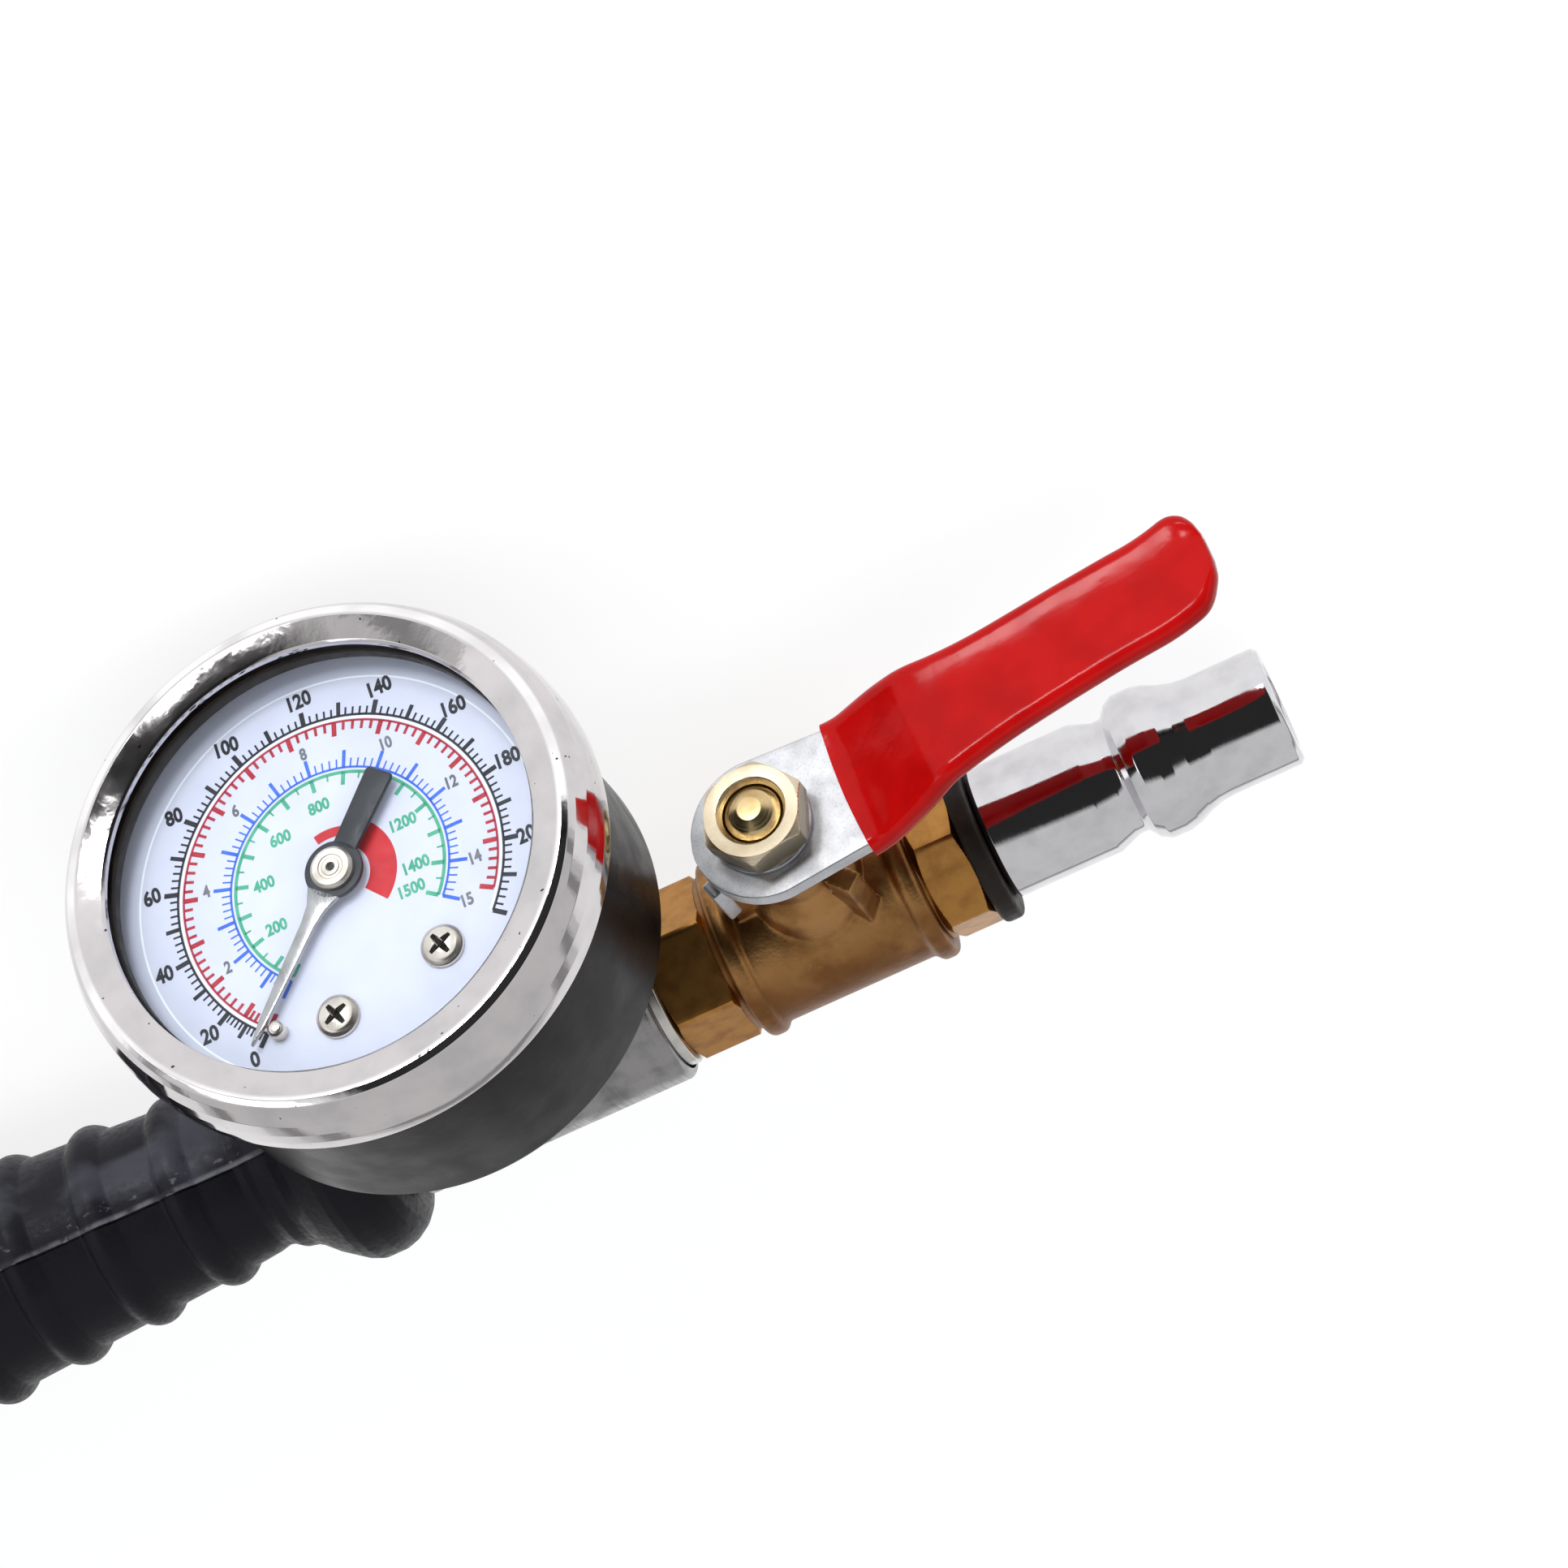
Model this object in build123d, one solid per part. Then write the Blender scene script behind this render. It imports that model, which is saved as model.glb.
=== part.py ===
from build123d import *
import math
import os

# Tire inflator gauge: rubber grip, tee, dial pressure gauge, lever ball valve and air plug.
# While modelling, the pipe runs along X with the tee at the origin, the dial faces -Y and
# its twelve o'clock is +Z. The last step rolls the whole about the pipe into the pose in
# which it lies on a table, and moves the origin to the open end of the inlet.

# Driving dimensions of the pipe run, millimetres
BORE_R = 3.0                # air passage
THREAD_R = 6.58             # outside of a quarter-inch pipe thread
TEE_R = 10.4
TEE_HALF = 16.0
SOCKET_DEPTH = 11.0         # threaded sockets at both ends of the tee
BOSS_TOP = 18.0             # side boss of the tee that carries the gauge
GRIP_END = -112.2
INLET_END = -124.0
TUBE_R = 7.0                # steel core under the rubber
INLET_R = 5.7
INLET_DEPTH = 11.0
PLUG_TIP = 87.7
NOSE_R = 6.57

# Driving dimensions of the ball valve
STEM_X = 36.2
HEX_R = 9.24                # corner radius of a 16 mm hexagon
BODY_R = 9.15
RIB_R = 10.0
BALL_R = 6.0
CAVITY_R = 7.4
STEM_R = 3.2
SEAT_GAP = 0.15
PLATE_LOW = 20.9            # inner face of the lever plate, from the pipe's axis
PLATE_T = 1.8
LEVER_TIP = 52.0            # reach of the lever plate from the stem's axis
LEVER_TIP_HALF = 4.0
LEVER_RISE = 5.05           # height of the crank in the strip
LEVER_SKEW = 1.75           # the strip leans this many degrees towards the closed side
SLEEVE_SKIN = 0.7
SLEEVE_ROOT = 8.8

# Driving dimensions of the gauge, heights measured outward from the pipe's axis
CASE_R = 25.3
CASE_BACK = 26.1
SHEET = 0.8
BEZEL_R = 27.5
BEZEL_BACK = 48.8
DIAL_FACE = 49.9
DIAL_R = 24.3
WINDOW_LOW = 53.9
WINDOW_TOP = 55.2
DIAL_SCREWS = [(7.64, -11.84), (-4.23, -14.13)]
NEEDLE_ZERO = 227.0         # direction of the resting needle, counter-clockwise from +X
NEEDLE_LOW = 51.0
NEEDLE_REACH = 18.9
TAIL_REACH = 10.9
STOP_PIN = (16.6, 232.0)    # its distance from the centre and its direction

# Driving dimensions of the gauge movement
MODULE = 0.25
PINION_TEETH = 12
SECTOR_TEETH = 108          # count of the full circle that the sector is cut from
SECTOR_FIRST = -10          # teeth on either side of the resting mesh
SECTOR_LAST = 1
MESH_LINE = 60.0            # direction from the sector's pivot to the pinion
TUBE_MID_R = 18.8
TUBE_LOW = 33.2
TUBE_WIDE = 6.4
TUBE_THICK = 2.0
TUBE_ROOT = -66.0
TUBE_TIP = 200.0
BACK_PLATE = 33.4
FRONT_PLATE = 42.4
MOVEMENT_T = 1.0
SECTOR_LOW = 36.8
LINK_LOW = 38.0
ARM_LENGTH = 5.0
ARM_LINE = 62.2             # direction from the sector's pivot to the link's pin
LINK_END = (-13.71, -4.06)
PLATE_SCREWS = [(-1.5, 4.0), (-1.5, -4.0)]      # along and across the mesh line
PILLARS = [(2.4, 5.8), (2.4, -5.8), (-15.6, -4.0)]

# The rest pose: the roll that sets the case's rear edge and the grip's flange on a table
REST_ROLL = 199.5

# Frames whose third axis runs along the pipe, out of the gauge and out of the stem
PIPE = Plane(origin=(0, 0, 0), x_dir=(0, 0, 1), z_dir=(1, 0, 0))
GAUGE = Plane(origin=(0, 0, 0), x_dir=(1, 0, 0), z_dir=(0, -1, 0))
STEM = Plane(origin=(STEM_X, 0, 0), x_dir=(1, 0, 0), z_dir=(0, -1, 0))
REST = Pos(-INLET_END, 0, 0) * Rot(REST_ROLL, 0, 0)


def save(name, shape):
    export_step(REST * shape, os.path.join("parts", name + ".step"))


def lathe(points):
    """Turn a closed outline of (radius, height) points about the third axis."""
    return revolve(Plane.XZ * make_face(Polyline(*points, close=True)), Axis.Z)


def rod(radius, low, high, x=0.0, y=0.0):
    """A round bar between two heights."""
    return Pos(x, y, (low + high) / 2) * Cylinder(radius, high - low)


def ring(outer, inner, low, high):
    return rod(outer, low, high) - rod(inner, low - 1, high + 1)


def slab(width, depth, low, high, x=0.0, y=0.0):
    """A rectangular block between two heights."""
    return Pos(x, y, (low + high) / 2) * Box(width, depth, high - low)


def polar(radius, angle, center=(0.0, 0.0)):
    turn = math.radians(angle)
    return (center[0] + radius * math.cos(turn), center[1] + radius * math.sin(turn))


def hexagon(radius, low, high, turn, bevel=0.55):
    """A hexagonal bar with its corners turned off at both ends."""
    face_r = radius - 1.6 * bevel
    blank = lathe([(0, low), (face_r, low), (radius, low + bevel),
                   (radius, high - bevel), (face_r, high), (0, high)])
    bar = Pos(0, 0, low) * extrude(RegularPolygon(radius, 6, rotation=turn), high - low)
    return blank & bar


# Pipe run

def tee_block():
    rim = 1.0
    recess = 9.5
    body = lathe([(0, -TEE_HALF), (TEE_R - rim, -TEE_HALF), (TEE_R, rim - TEE_HALF),
                  (TEE_R, TEE_HALF - 0.5), (TEE_R - 0.5, TEE_HALF), (0, TEE_HALF)])
    body -= rod(recess, TEE_HALF - 1.5, TEE_HALF + 1)
    body -= rod(THREAD_R, TEE_HALF - SOCKET_DEPTH, TEE_HALF)
    body -= rod(THREAD_R, -TEE_HALF - 1, SOCKET_DEPTH - TEE_HALF)
    body -= rod(BORE_R, -TEE_HALF, TEE_HALF)
    boss = rod(8.5, 0, BOSS_TOP - 1) + Pos(0, 0, BOSS_TOP - 0.5) * Cone(8.5, 7.5, 1)
    boss -= lathe([(0, -TEE_HALF), (TEE_R - 1.5, -TEE_HALF), (TEE_R - 1.5, TEE_HALF),
                   (0, TEE_HALF)]).rotate(Axis.Y, 90)
    side_hole = rod(5.0, 6, BOSS_TOP + 1) + rod(1.5, 0, 7)
    return PIPE * body + GAUGE * boss - GAUGE * side_hole


def valve_nipple():
    low = TEE_HALF - SOCKET_DEPTH
    flange = TEE_HALF - 1.5
    high = 24.4
    body = rod(THREAD_R, low, flange) + rod(9.2, flange, 17.1) + rod(THREAD_R, 17.1, high)
    return PIPE * (body - rod(BORE_R, low - 1, high + 1))


def core_tube():
    collar_r = 9.8
    collar = GRIP_END - 0.1
    body = lathe([(3.5, INLET_END), (collar_r - 0.8, INLET_END), (collar_r, INLET_END + 0.8),
                  (collar_r, collar - 0.6), (collar_r - 0.6, collar), (TUBE_R, collar),
                  (TUBE_R, -TEE_HALF), (THREAD_R, -TEE_HALF),
                  (THREAD_R, SOCKET_DEPTH - TEE_HALF), (3.5, SOCKET_DEPTH - TEE_HALF)])
    return PIPE * (body - rod(INLET_R, INLET_END - 1, INLET_END + INLET_DEPTH))


def neck_radius(x):
    """Radius of the grip between its ribs, growing away from the tee."""
    return min(10.1 - 0.065 * (x + 42.3), 12.3)


def rib_outline(x):
    """One rounded rib of the grip, listed away from the tee."""
    top = neck_radius(x) + 1.05
    return [(neck_radius(x + 1.7), x + 1.7), (top - 0.55, x + 1.15), (top, x + 0.5),
            (top, x - 0.5), (top - 0.55, x - 1.15), (neck_radius(x - 1.7), x - 1.7)]


def grip():
    first_rib = -37.9
    rib_step = 9.3
    rib_count = 8
    outline = [(11.0, -16.2), (12.4, -16.7), (13.4, -17.6), (14.2, -18.9), (14.6, -20.2),
               (14.6, -22.4), (14.1, -23.6), (12.3, -26.1), (10.9, -27.6), (10.4, -28.4),
               (10.1, -29.7), (9.3, -30.8), (9.1, -31.6), (9.4, -33.0)]
    for index in range(rib_count):
        outline += rib_outline(first_rib - index * rib_step)
    outline += [(12.3, GRIP_END + 1.6), (11.9, GRIP_END + 0.5), (11.2, GRIP_END)]
    return PIPE * lathe([*outline, (TUBE_R, GRIP_END), (TUBE_R, -16.2)])


def sealing_ring():
    return PIPE * ring(9.1, 6.0, 52.4, 54.6)


def air_plug():
    body = lathe([(6.0, 46.0), (6.0, 54.7), (6.7, 54.7), (7.2, 55.2), (7.2, 66.5),
                  (6.3, 69.0), (6.3, 70.0), (7.5, 70.9), (8.1, 72.0), (8.1, 74.0),
                  (7.8, 75.3), (7.1, 76.9), (6.7, 78.3), (NOSE_R, 79.5),
                  (NOSE_R, PLUG_TIP - 0.5), (NOSE_R - 0.5, PLUG_TIP), (0, PLUG_TIP),
                  (0, 46.0)])
    body -= rod(2.6, 45, PLUG_TIP + 1)
    return PIPE * (body - rod(4.4, 78, PLUG_TIP + 1))


# Ball valve

def stop_lug(angle):
    """A cast post beside the stem that the lever's tab comes up against."""
    spot = polar(6.7, angle)
    return Pos(spot[0], spot[1], 10.6) * Rot(0, 0, angle) * Box(3.0, 2.4, 9.2)


def valve_body():
    left = 17.1
    right = 46.8
    shape = hexagon(HEX_R, left, 24.4, 28.0)
    shape += lathe([(0, 24.0), (8.3, 24.0), (9.0, 24.9), (9.7, 25.1), (RIB_R, 25.5),
                    (RIB_R, 26.6), (9.7, 27.0), (BODY_R, 27.2), (BODY_R, 44.6),
                    (9.7, 44.8), (RIB_R, 45.2), (RIB_R, 46.3), (9.7, right), (0, right)])
    shape -= rod(THREAD_R, left - 1, 24.4)
    shape -= rod(BORE_R, 24, 30)
    shape -= rod(CAVITY_R, 29.0, right + 1)
    boss = rod(6.0, 6, 12) + lathe([(0, 6), (4.6, 6), (4.6, 19.8), (4.0, 20.4), (0, 20.4)])
    boss += stop_lug(312) + stop_lug(184)
    inner = lathe([(0, -12), (CAVITY_R, -12), (CAVITY_R, 12), (0, 12)]).rotate(Axis.Y, 90)
    boss -= inner
    stem_hole = rod(3.9, 0, 8.0) + rod(STEM_R + 0.05, 0, 21)
    return PIPE * shape + STEM * boss - STEM * stem_hole


def valve_end():
    outer = lathe([(0, 43.5), (CAVITY_R, 43.5), (CAVITY_R, 46.8), (8.6, 46.8), (8.6, 47.2),
                   (0, 47.2)])
    shape = outer + hexagon(HEX_R, 47.0, 52.4, 46.0)
    shape -= rod(BORE_R, 43, 53)
    return PIPE * (shape - rod(6.0, 46.0, 53))


def ball():
    shape = Sphere(BALL_R) - Rot(0, 90, 0) * Cylinder(2.8, 3 * BALL_R)
    return STEM * (shape - slab(2.2, 3 * BALL_R, 3.6, BALL_R + 1))


def ball_seat(low, high):
    """A soft ring whose inner edge follows the ball."""
    shape = ring(CAVITY_R, 3.2, low, high)
    return shape - Pos(0, 0, STEM_X) * Sphere(BALL_R + SEAT_GAP)


def ball_seats():
    return PIPE * Compound([ball_seat(29.0, 32.2), ball_seat(40.2, 43.4)])


def valve_stem():
    groove = (12.0, 13.8)
    shape = lathe([(0, 5.2), (3.5, 5.2), (3.8, 6.4), (3.8, 7.7), (STEM_R, 7.7),
                   (STEM_R, groove[0]), (2.3, groove[0]), (2.3, groove[1]),
                   (STEM_R, groove[1]), (STEM_R, PLATE_LOW), (3.0, PLATE_LOW),
                   (3.0, 26.6), (2.3, 27.2), (1.2, 27.5), (0, 27.6)])
    shape -= slab(20, 20, 4, 6.3) - slab(2.0, 7.0, 4, 6.3)
    shape += slab(2.0, 6.6, 3.8, 6.4)
    flats = slab(10, 10, PLATE_LOW, PLATE_LOW + 2.4) - slab(4.6, 10, PLATE_LOW, PLATE_LOW + 2.4)
    return STEM * (shape - flats)


def stem_seal():
    return STEM * Pos(0, 0, 12.9) * Torus(2.75, 0.44)


def lever_outline(grow):
    """Plan of the lever, round at the stem and blunt at the tip."""
    tip = LEVER_TIP + grow
    half = LEVER_TIP_HALF + grow
    side = [(0, 7.8 + grow), (9.0, 7.1 + grow), (14.0, 6.9 + grow), (17.0, 6.7 + grow),
            (20.0, 6.1 + grow), (24.0, 5.4 + grow), (28.0, 4.9 + grow), (34.0, 4.45 + grow),
            (40.0, half + 0.1), (tip - 3.6, half), (tip - 2.0, half - 0.5),
            (tip - 0.8, half - 1.6), (tip - 0.1, half - 3.2)]
    mirrored = [(x, -y) for x, y in reversed(side)]
    shape = Circle(7.8 + grow) + make_face(Polyline(*side, *mirrored, close=True))
    return Rot(0, 0, LEVER_SKEW) * shape


def lever_side(thick, end):
    """Side view of the cranked strip, drawn as a band about its middle line."""
    middle = PLATE_LOW + PLATE_T / 2
    path = FilletPolyline((-12.0, middle), (10.8, middle), (19.4, middle + LEVER_RISE),
                          (end, middle + LEVER_RISE + 0.1 * (end - 19.4)), radius=6.0)
    return Plane.XZ * make_face(offset(path, thick / 2, side=Side.BOTH).edges())


def lever_strip(grow, thick, end):
    side = extrude(lever_side(thick, end), 20, both=True)
    return side & extrude(lever_outline(grow), 60)


def lever_plate():
    shape = lever_strip(0.0, PLATE_T, LEVER_TIP + 1)
    spot = polar(7.9, 203)
    tab = Pos(spot[0], spot[1], 17.5) * Rot(0, 0, 203) * Box(1.6, 2.2, 7.0)
    hole = rod(3.0, 18, 25) & slab(4.6, 10, 18, 25)
    return STEM * (shape + (tab & rod(7.8 + 0.8, 10, 22)) - hole)


def lever_sleeve():
    shape = lever_strip(SLEEVE_SKIN, PLATE_T + 2 * SLEEVE_SKIN, LEVER_TIP + 3)
    shape -= slab(60, 40, 0, 60, SLEEVE_ROOT - 30, 0)
    return STEM * (shape - lever_strip(0.0, PLATE_T, LEVER_TIP + 1))


def lever_washer():
    low = PLATE_LOW + PLATE_T
    return STEM * ring(5.3, 3.0, low, low + 0.7)


def lever_nut():
    low = PLATE_LOW + PLATE_T + 0.7
    high = 27.0
    shape = hexagon(5.78, low, high, 12.0, 0.4) - rod(3.0, low - 1, high + 1)
    return STEM * (shape - Pos(0, 0, high - 0.3) * Cone(3.0, 3.6, 0.6))


# Gauge case and front

def case():
    inner = CASE_R - SHEET
    return GAUGE * lathe([(6.0, CASE_BACK), (CASE_R - 1.8, CASE_BACK),
                          (CASE_R - 0.5, CASE_BACK + 0.5), (CASE_R, CASE_BACK + 1.8),
                          (CASE_R, 50.0), (26.6, 51.2), (26.6, 53.5), (25.8, 53.5),
                          (25.8, 51.6), (inner, 50.4), (inner, CASE_BACK + 2.0),
                          (inner - 1.2, CASE_BACK + SHEET), (6.0, CASE_BACK + SHEET)])


def bezel():
    return GAUGE * lathe([(BEZEL_R - SHEET, BEZEL_BACK), (BEZEL_R, BEZEL_BACK),
                          (BEZEL_R, 50.6), (27.35, 52.2), (27.05, 54.0), (26.4, 55.6),
                          (25.9, 56.3), (25.3, 56.6), (24.7, 56.6), (22.35, 56.05),
                          (22.07, 55.85), (22.07, WINDOW_TOP), (25.4, WINDOW_TOP),
                          (25.4, 54.3), (26.0, 53.9), (BEZEL_R - SHEET, 53.5)])


def window():
    return GAUGE * rod(25.3, WINDOW_LOW, WINDOW_TOP)


def window_gasket():
    return GAUGE * ring(25.7, 21.96, 52.4, WINDOW_LOW)


def dial():
    shape = rod(DIAL_R, DIAL_FACE - 0.6, DIAL_FACE) - rod(1.6, 48, 51)
    for x, y in DIAL_SCREWS:
        shape -= rod(0.9, 48, 51, x, y)
    return GAUGE * (shape - rod(0.5, 48, 51, *polar(*STOP_PIN)))


def dial_screw(x, y):
    head = Pos(x, y, DIAL_FACE) * lathe([(0, 0), (2.2, 0), (2.2, 0.45), (1.7, 0.9), (0, 1.1)])
    cross = slab(2.4, 0.5, DIAL_FACE + 0.6, DIAL_FACE + 2, x, y)
    cross += slab(0.5, 2.4, DIAL_FACE + 0.6, DIAL_FACE + 2, x, y)
    return head + rod(0.9, 45.5, DIAL_FACE, x, y) - cross


def dial_screws():
    return GAUGE * Compound([dial_screw(x, y) for x, y in DIAL_SCREWS])


def stop_pin():
    """A riveted pin whose round head stands beside the resting needle."""
    base = DIAL_FACE
    shape = lathe([(0, base - 0.6), (0.5, base - 0.6), (0.5, base), (0.85, base),
                   (0.85, base + 1.3), (0.6, base + 1.6), (0, base + 1.75)])
    return GAUGE * Pos(*polar(*STOP_PIN), 0) * shape


def pointer():
    reach = NEEDLE_REACH
    tail = -TAIL_REACH
    side = [(reach, 0), (reach - 2.4, 0.42), (12.0, 0.6), (6.0, 0.75), (4.2, 1.0),
            (2.4, 1.8), (-2.4, 1.3), (tail + 0.4, 1.5), (tail, 1.2)]
    mirrored = [(x, -y) for x, y in reversed(side[1:])]
    plate = make_face(Polyline(*side, *mirrored, close=True)) + Circle(3.0) - Circle(1.0)
    return GAUGE * Pos(0, 0, NEEDLE_LOW) * Rot(0, 0, NEEDLE_ZERO) * extrude(plate, 0.5)


def pointer_hub():
    """The boss under the needle and the turned cap over it, with a blind hole for the shaft."""
    high = NEEDLE_LOW + 0.5
    return GAUGE * lathe([(0.7, 50.3), (2.4, 50.3), (2.6, 50.5), (2.6, NEEDLE_LOW),
                          (1.0, NEEDLE_LOW), (1.0, high), (2.2, high), (2.2, high + 0.5),
                          (1.9, high + 0.8), (0.3, high + 0.8), (0.3, high + 0.5),
                          (0, high + 0.5), (0, high + 0.4), (0.7, high + 0.4)])


# Gauge movement

def tooth(pitch_r, widths, middle):
    """Outline of one straight-flanked tooth: widths are those at root, pitch line and tip."""
    radii = (pitch_r - 1.2 * MODULE, pitch_r, pitch_r + 0.88 * MODULE)
    halves = [math.degrees(width / 2 / radius) for width, radius in zip(widths, radii)]
    rising = [polar(radius, middle - half) for radius, half in zip(radii, halves)]
    falling = [polar(radius, middle + half) for radius, half in zip(radii, halves)]
    return rising + falling[::-1]


def pinion_shaft():
    step = 360 / PINION_TEETH
    first = MESH_LINE + 180 + step / 2
    points = []
    for index in range(PINION_TEETH):
        points += tooth(MODULE * PINION_TEETH / 2, (0.44, 0.32, 0.17), first + index * step)
    gear = extrude(make_face(Polyline(*points, close=True)), 2.0)
    shaft = rod(0.75, BACK_PLATE + 0.2, 50.0) + rod(0.7, 50.0, NEEDLE_LOW + 0.8)
    return GAUGE * (shaft + Pos(0, 0, SECTOR_LOW - 0.5) * gear)


def sector_pivot():
    reach = MODULE * (PINION_TEETH + SECTOR_TEETH) / 2
    return polar(reach, MESH_LINE + 180)


def link_pin_spot():
    return polar(ARM_LENGTH, ARM_LINE, sector_pivot())


def sector_gear():
    step = 360 / SECTOR_TEETH
    points = []
    for index in range(SECTOR_FIRST, SECTOR_LAST + 1):
        points += tooth(MODULE * SECTOR_TEETH / 2, (0.52, 0.34, 0.18), MESH_LINE + index * step)
    blank = make_face(Polyline((0, -1.4), *points, (-1.4, 1.0), close=True)) + Circle(2.2)
    blank += Rot(0, 0, ARM_LINE) * Pos(ARM_LENGTH / 2, 0) * SlotOverall(ARM_LENGTH + 2.6, 2.6)
    opening = make_face(Polyline(polar(5.5, 32), polar(10.5, 30), polar(10.5, 52),
                                 polar(5.5, 46), close=True))
    blank -= opening + Circle(0.7) + Pos(*polar(ARM_LENGTH, ARM_LINE)) * Circle(0.5)
    return GAUGE * Pos(*sector_pivot(), SECTOR_LOW) * extrude(blank, MOVEMENT_T)


def sector_arbor():
    x, y = sector_pivot()
    shape = rod(0.7, BACK_PLATE + 0.2, FRONT_PLATE + 0.9, x, y)
    shape += rod(1.3, BACK_PLATE + MOVEMENT_T + 0.3, SECTOR_LOW, x, y)
    return GAUGE * (shape + rod(1.3, SECTOR_LOW + MOVEMENT_T, FRONT_PLATE - 0.3, x, y))


def link():
    start = link_pin_spot()
    reach = math.dist(start, LINK_END)
    turn = math.degrees(math.atan2(LINK_END[1] - start[1], LINK_END[0] - start[0]))
    strip = Pos(reach / 2, 0) * SlotCenterToCenter(reach, 2.0) - Circle(0.55)
    strip -= Pos(reach, 0) * Circle(0.55)
    return GAUGE * Pos(*start, LINK_LOW) * Rot(0, 0, turn) * extrude(strip, 0.6)


def link_pin():
    x, y = link_pin_spot()
    return GAUGE * (rod(0.5, SECTOR_LOW, LINK_LOW + 0.8, x, y)
                    + rod(0.9, LINK_LOW + 0.8, LINK_LOW + 1.2, x, y))


def tube_section(grow):
    """The flattened tube's section, rounded at its narrow edges by short facets."""
    half = TUBE_THICK / 2 + grow
    flat = (TUBE_WIDE - TUBE_THICK) / 2
    spots = [(half * math.cos(math.radians(turn)), flat + half * math.sin(math.radians(turn)))
             for turn in range(0, 181, 36)]
    spots += [(-x, -y) for x, y in spots]
    return Plane.XZ * Pos(TUBE_MID_R, TUBE_LOW + TUBE_WIDE / 2) * make_face(
        Polyline(*spots, close=True))


def tube_sweep(section, start, end):
    return Rot(0, 0, start) * revolve(section, Axis.Z, revolution_arc=end - start)


def bourdon_tube():
    section = tube_section(0) - tube_section(-0.4)
    return GAUGE * tube_sweep(section, TUBE_ROOT, TUBE_TIP)


def tube_tip():
    """Plug brazed on the tube's free end, with an ear under the link."""
    cap = Plane.XZ * Pos(TUBE_MID_R, TUBE_LOW + TUBE_WIDE / 2) * Rectangle(2.6, 7.0)
    shape = tube_sweep(cap, TUBE_TIP, TUBE_TIP + 7)
    ear_low = LINK_LOW - 1.0
    reach = math.dist((0, 0), LINK_END)
    turn = math.degrees(math.atan2(LINK_END[1], LINK_END[0]))
    shape += Pos(*LINK_END, ear_low) * extrude(Circle(1.2), 0.8)
    bar = Pos(*polar(17.2, TUBE_TIP + 3.5), ear_low + 0.4) * Rot(0, 0, TUBE_TIP + 3.5)
    shape += bar * Box(3.4, 2.0, 0.8)
    side = Pos(*polar((reach + 16.4) / 2, (turn + 360 + TUBE_TIP + 3.5) / 2), ear_low + 0.4)
    return GAUGE * (shape + side * Rot(0, 0, TUBE_TIP + 30) * Box(3.2, 2.0, 0.8))


def gauge_socket():
    """Threaded shank, wrench square and the block that the tube is brazed into."""
    shape = lathe([(0, 6.4), (4.5, 6.4), (5.0, 7.0), (5.0, 18.2), (6.0, 18.2), (6.0, 26.9),
                   (0, 26.9)])
    shape += slab(12.7, 12.7, 18.2, CASE_BACK) & rod(8.4, 18.2, CASE_BACK)
    shape += slab(13.0, 13.0, CASE_BACK + SHEET, BACK_PLATE)
    arm = Rot(0, 0, TUBE_ROOT) * slab(19.4, 7.0, CASE_BACK + 1.6, TUBE_LOW, 9.7, 0)
    shape += arm & rod(20.9, 20, 40)
    foot = Plane.XZ * Pos(TUBE_MID_R, 35.0) * Rectangle(4.0, 10.4)
    shape += tube_sweep(foot, TUBE_ROOT - 8, TUBE_ROOT + 4)
    shape -= tube_sweep(tube_section(0), TUBE_ROOT, TUBE_ROOT + 10)
    shape -= rod(1.3, 5, 31)
    for u, v in PLATE_SCREWS:
        shape -= rod(0.8, 31.6, 34, *on_movement(u, v))
    passage = Rot(0, 0, TUBE_ROOT) * Pos(9.4, 0, 30.4) * Rot(0, 90, 0) * Cylinder(1.0, 18.8)
    return GAUGE * (shape - passage)


def on_movement(u, v):
    """A place on the movement: u along the line to the sector's pivot, v across it."""
    along = polar(u, MESH_LINE)
    return polar(v, MESH_LINE + 90, along)


def movement_plate(low):
    corners = [(4.5, 7.8), (4.5, -7.8), (-12.5, -7.8), (-17.6, -5.4), (-17.6, 3.0),
               (-9.0, 5.4), (-2.0, 7.8)]
    outline = make_face(Polyline(*[on_movement(u, v) for u, v in corners], close=True))
    outline = fillet(outline.vertices(), 1.6)
    outline -= Circle(0.8)
    outline -= Pos(*sector_pivot()) * Circle(0.75)
    return Pos(0, 0, low) * extrude(outline, MOVEMENT_T)


def back_plate():
    shape = movement_plate(BACK_PLATE)
    for u, v in PLATE_SCREWS:
        shape -= rod(0.8, 30, 36, *on_movement(u, v))
    return GAUGE * shape


def front_plate():
    shape = movement_plate(FRONT_PLATE)
    for x, y in DIAL_SCREWS:
        shape += Pos(0, 0, FRONT_PLATE) * extrude(dial_ear(x, y), MOVEMENT_T)
    return GAUGE * shape


def dial_ear(x, y):
    """A strip from the front plate out to the foot of a dial post."""
    reach = math.hypot(x, y)
    turn = math.degrees(math.atan2(y, x))
    return Rot(0, 0, turn) * Pos(reach / 2 + 2, 0) * SlotOverall(reach - 4 + 4.8, 4.8)


def movement_pillars():
    low = BACK_PLATE + MOVEMENT_T
    return GAUGE * Compound([rod(1.4, low, FRONT_PLATE, *on_movement(u, v)) for u, v in PILLARS])


def movement_screws():
    low = BACK_PLATE + MOVEMENT_T
    solids = []
    for u, v in PLATE_SCREWS:
        x, y = on_movement(u, v)
        slot = slab(4, 0.4, low + 0.4, low + 1, x, y)
        solids.append(rod(0.8, 31.7, low, x, y) + rod(1.5, low, low + 0.8, x, y) - slot)
    return GAUGE * Compound(solids)


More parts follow.
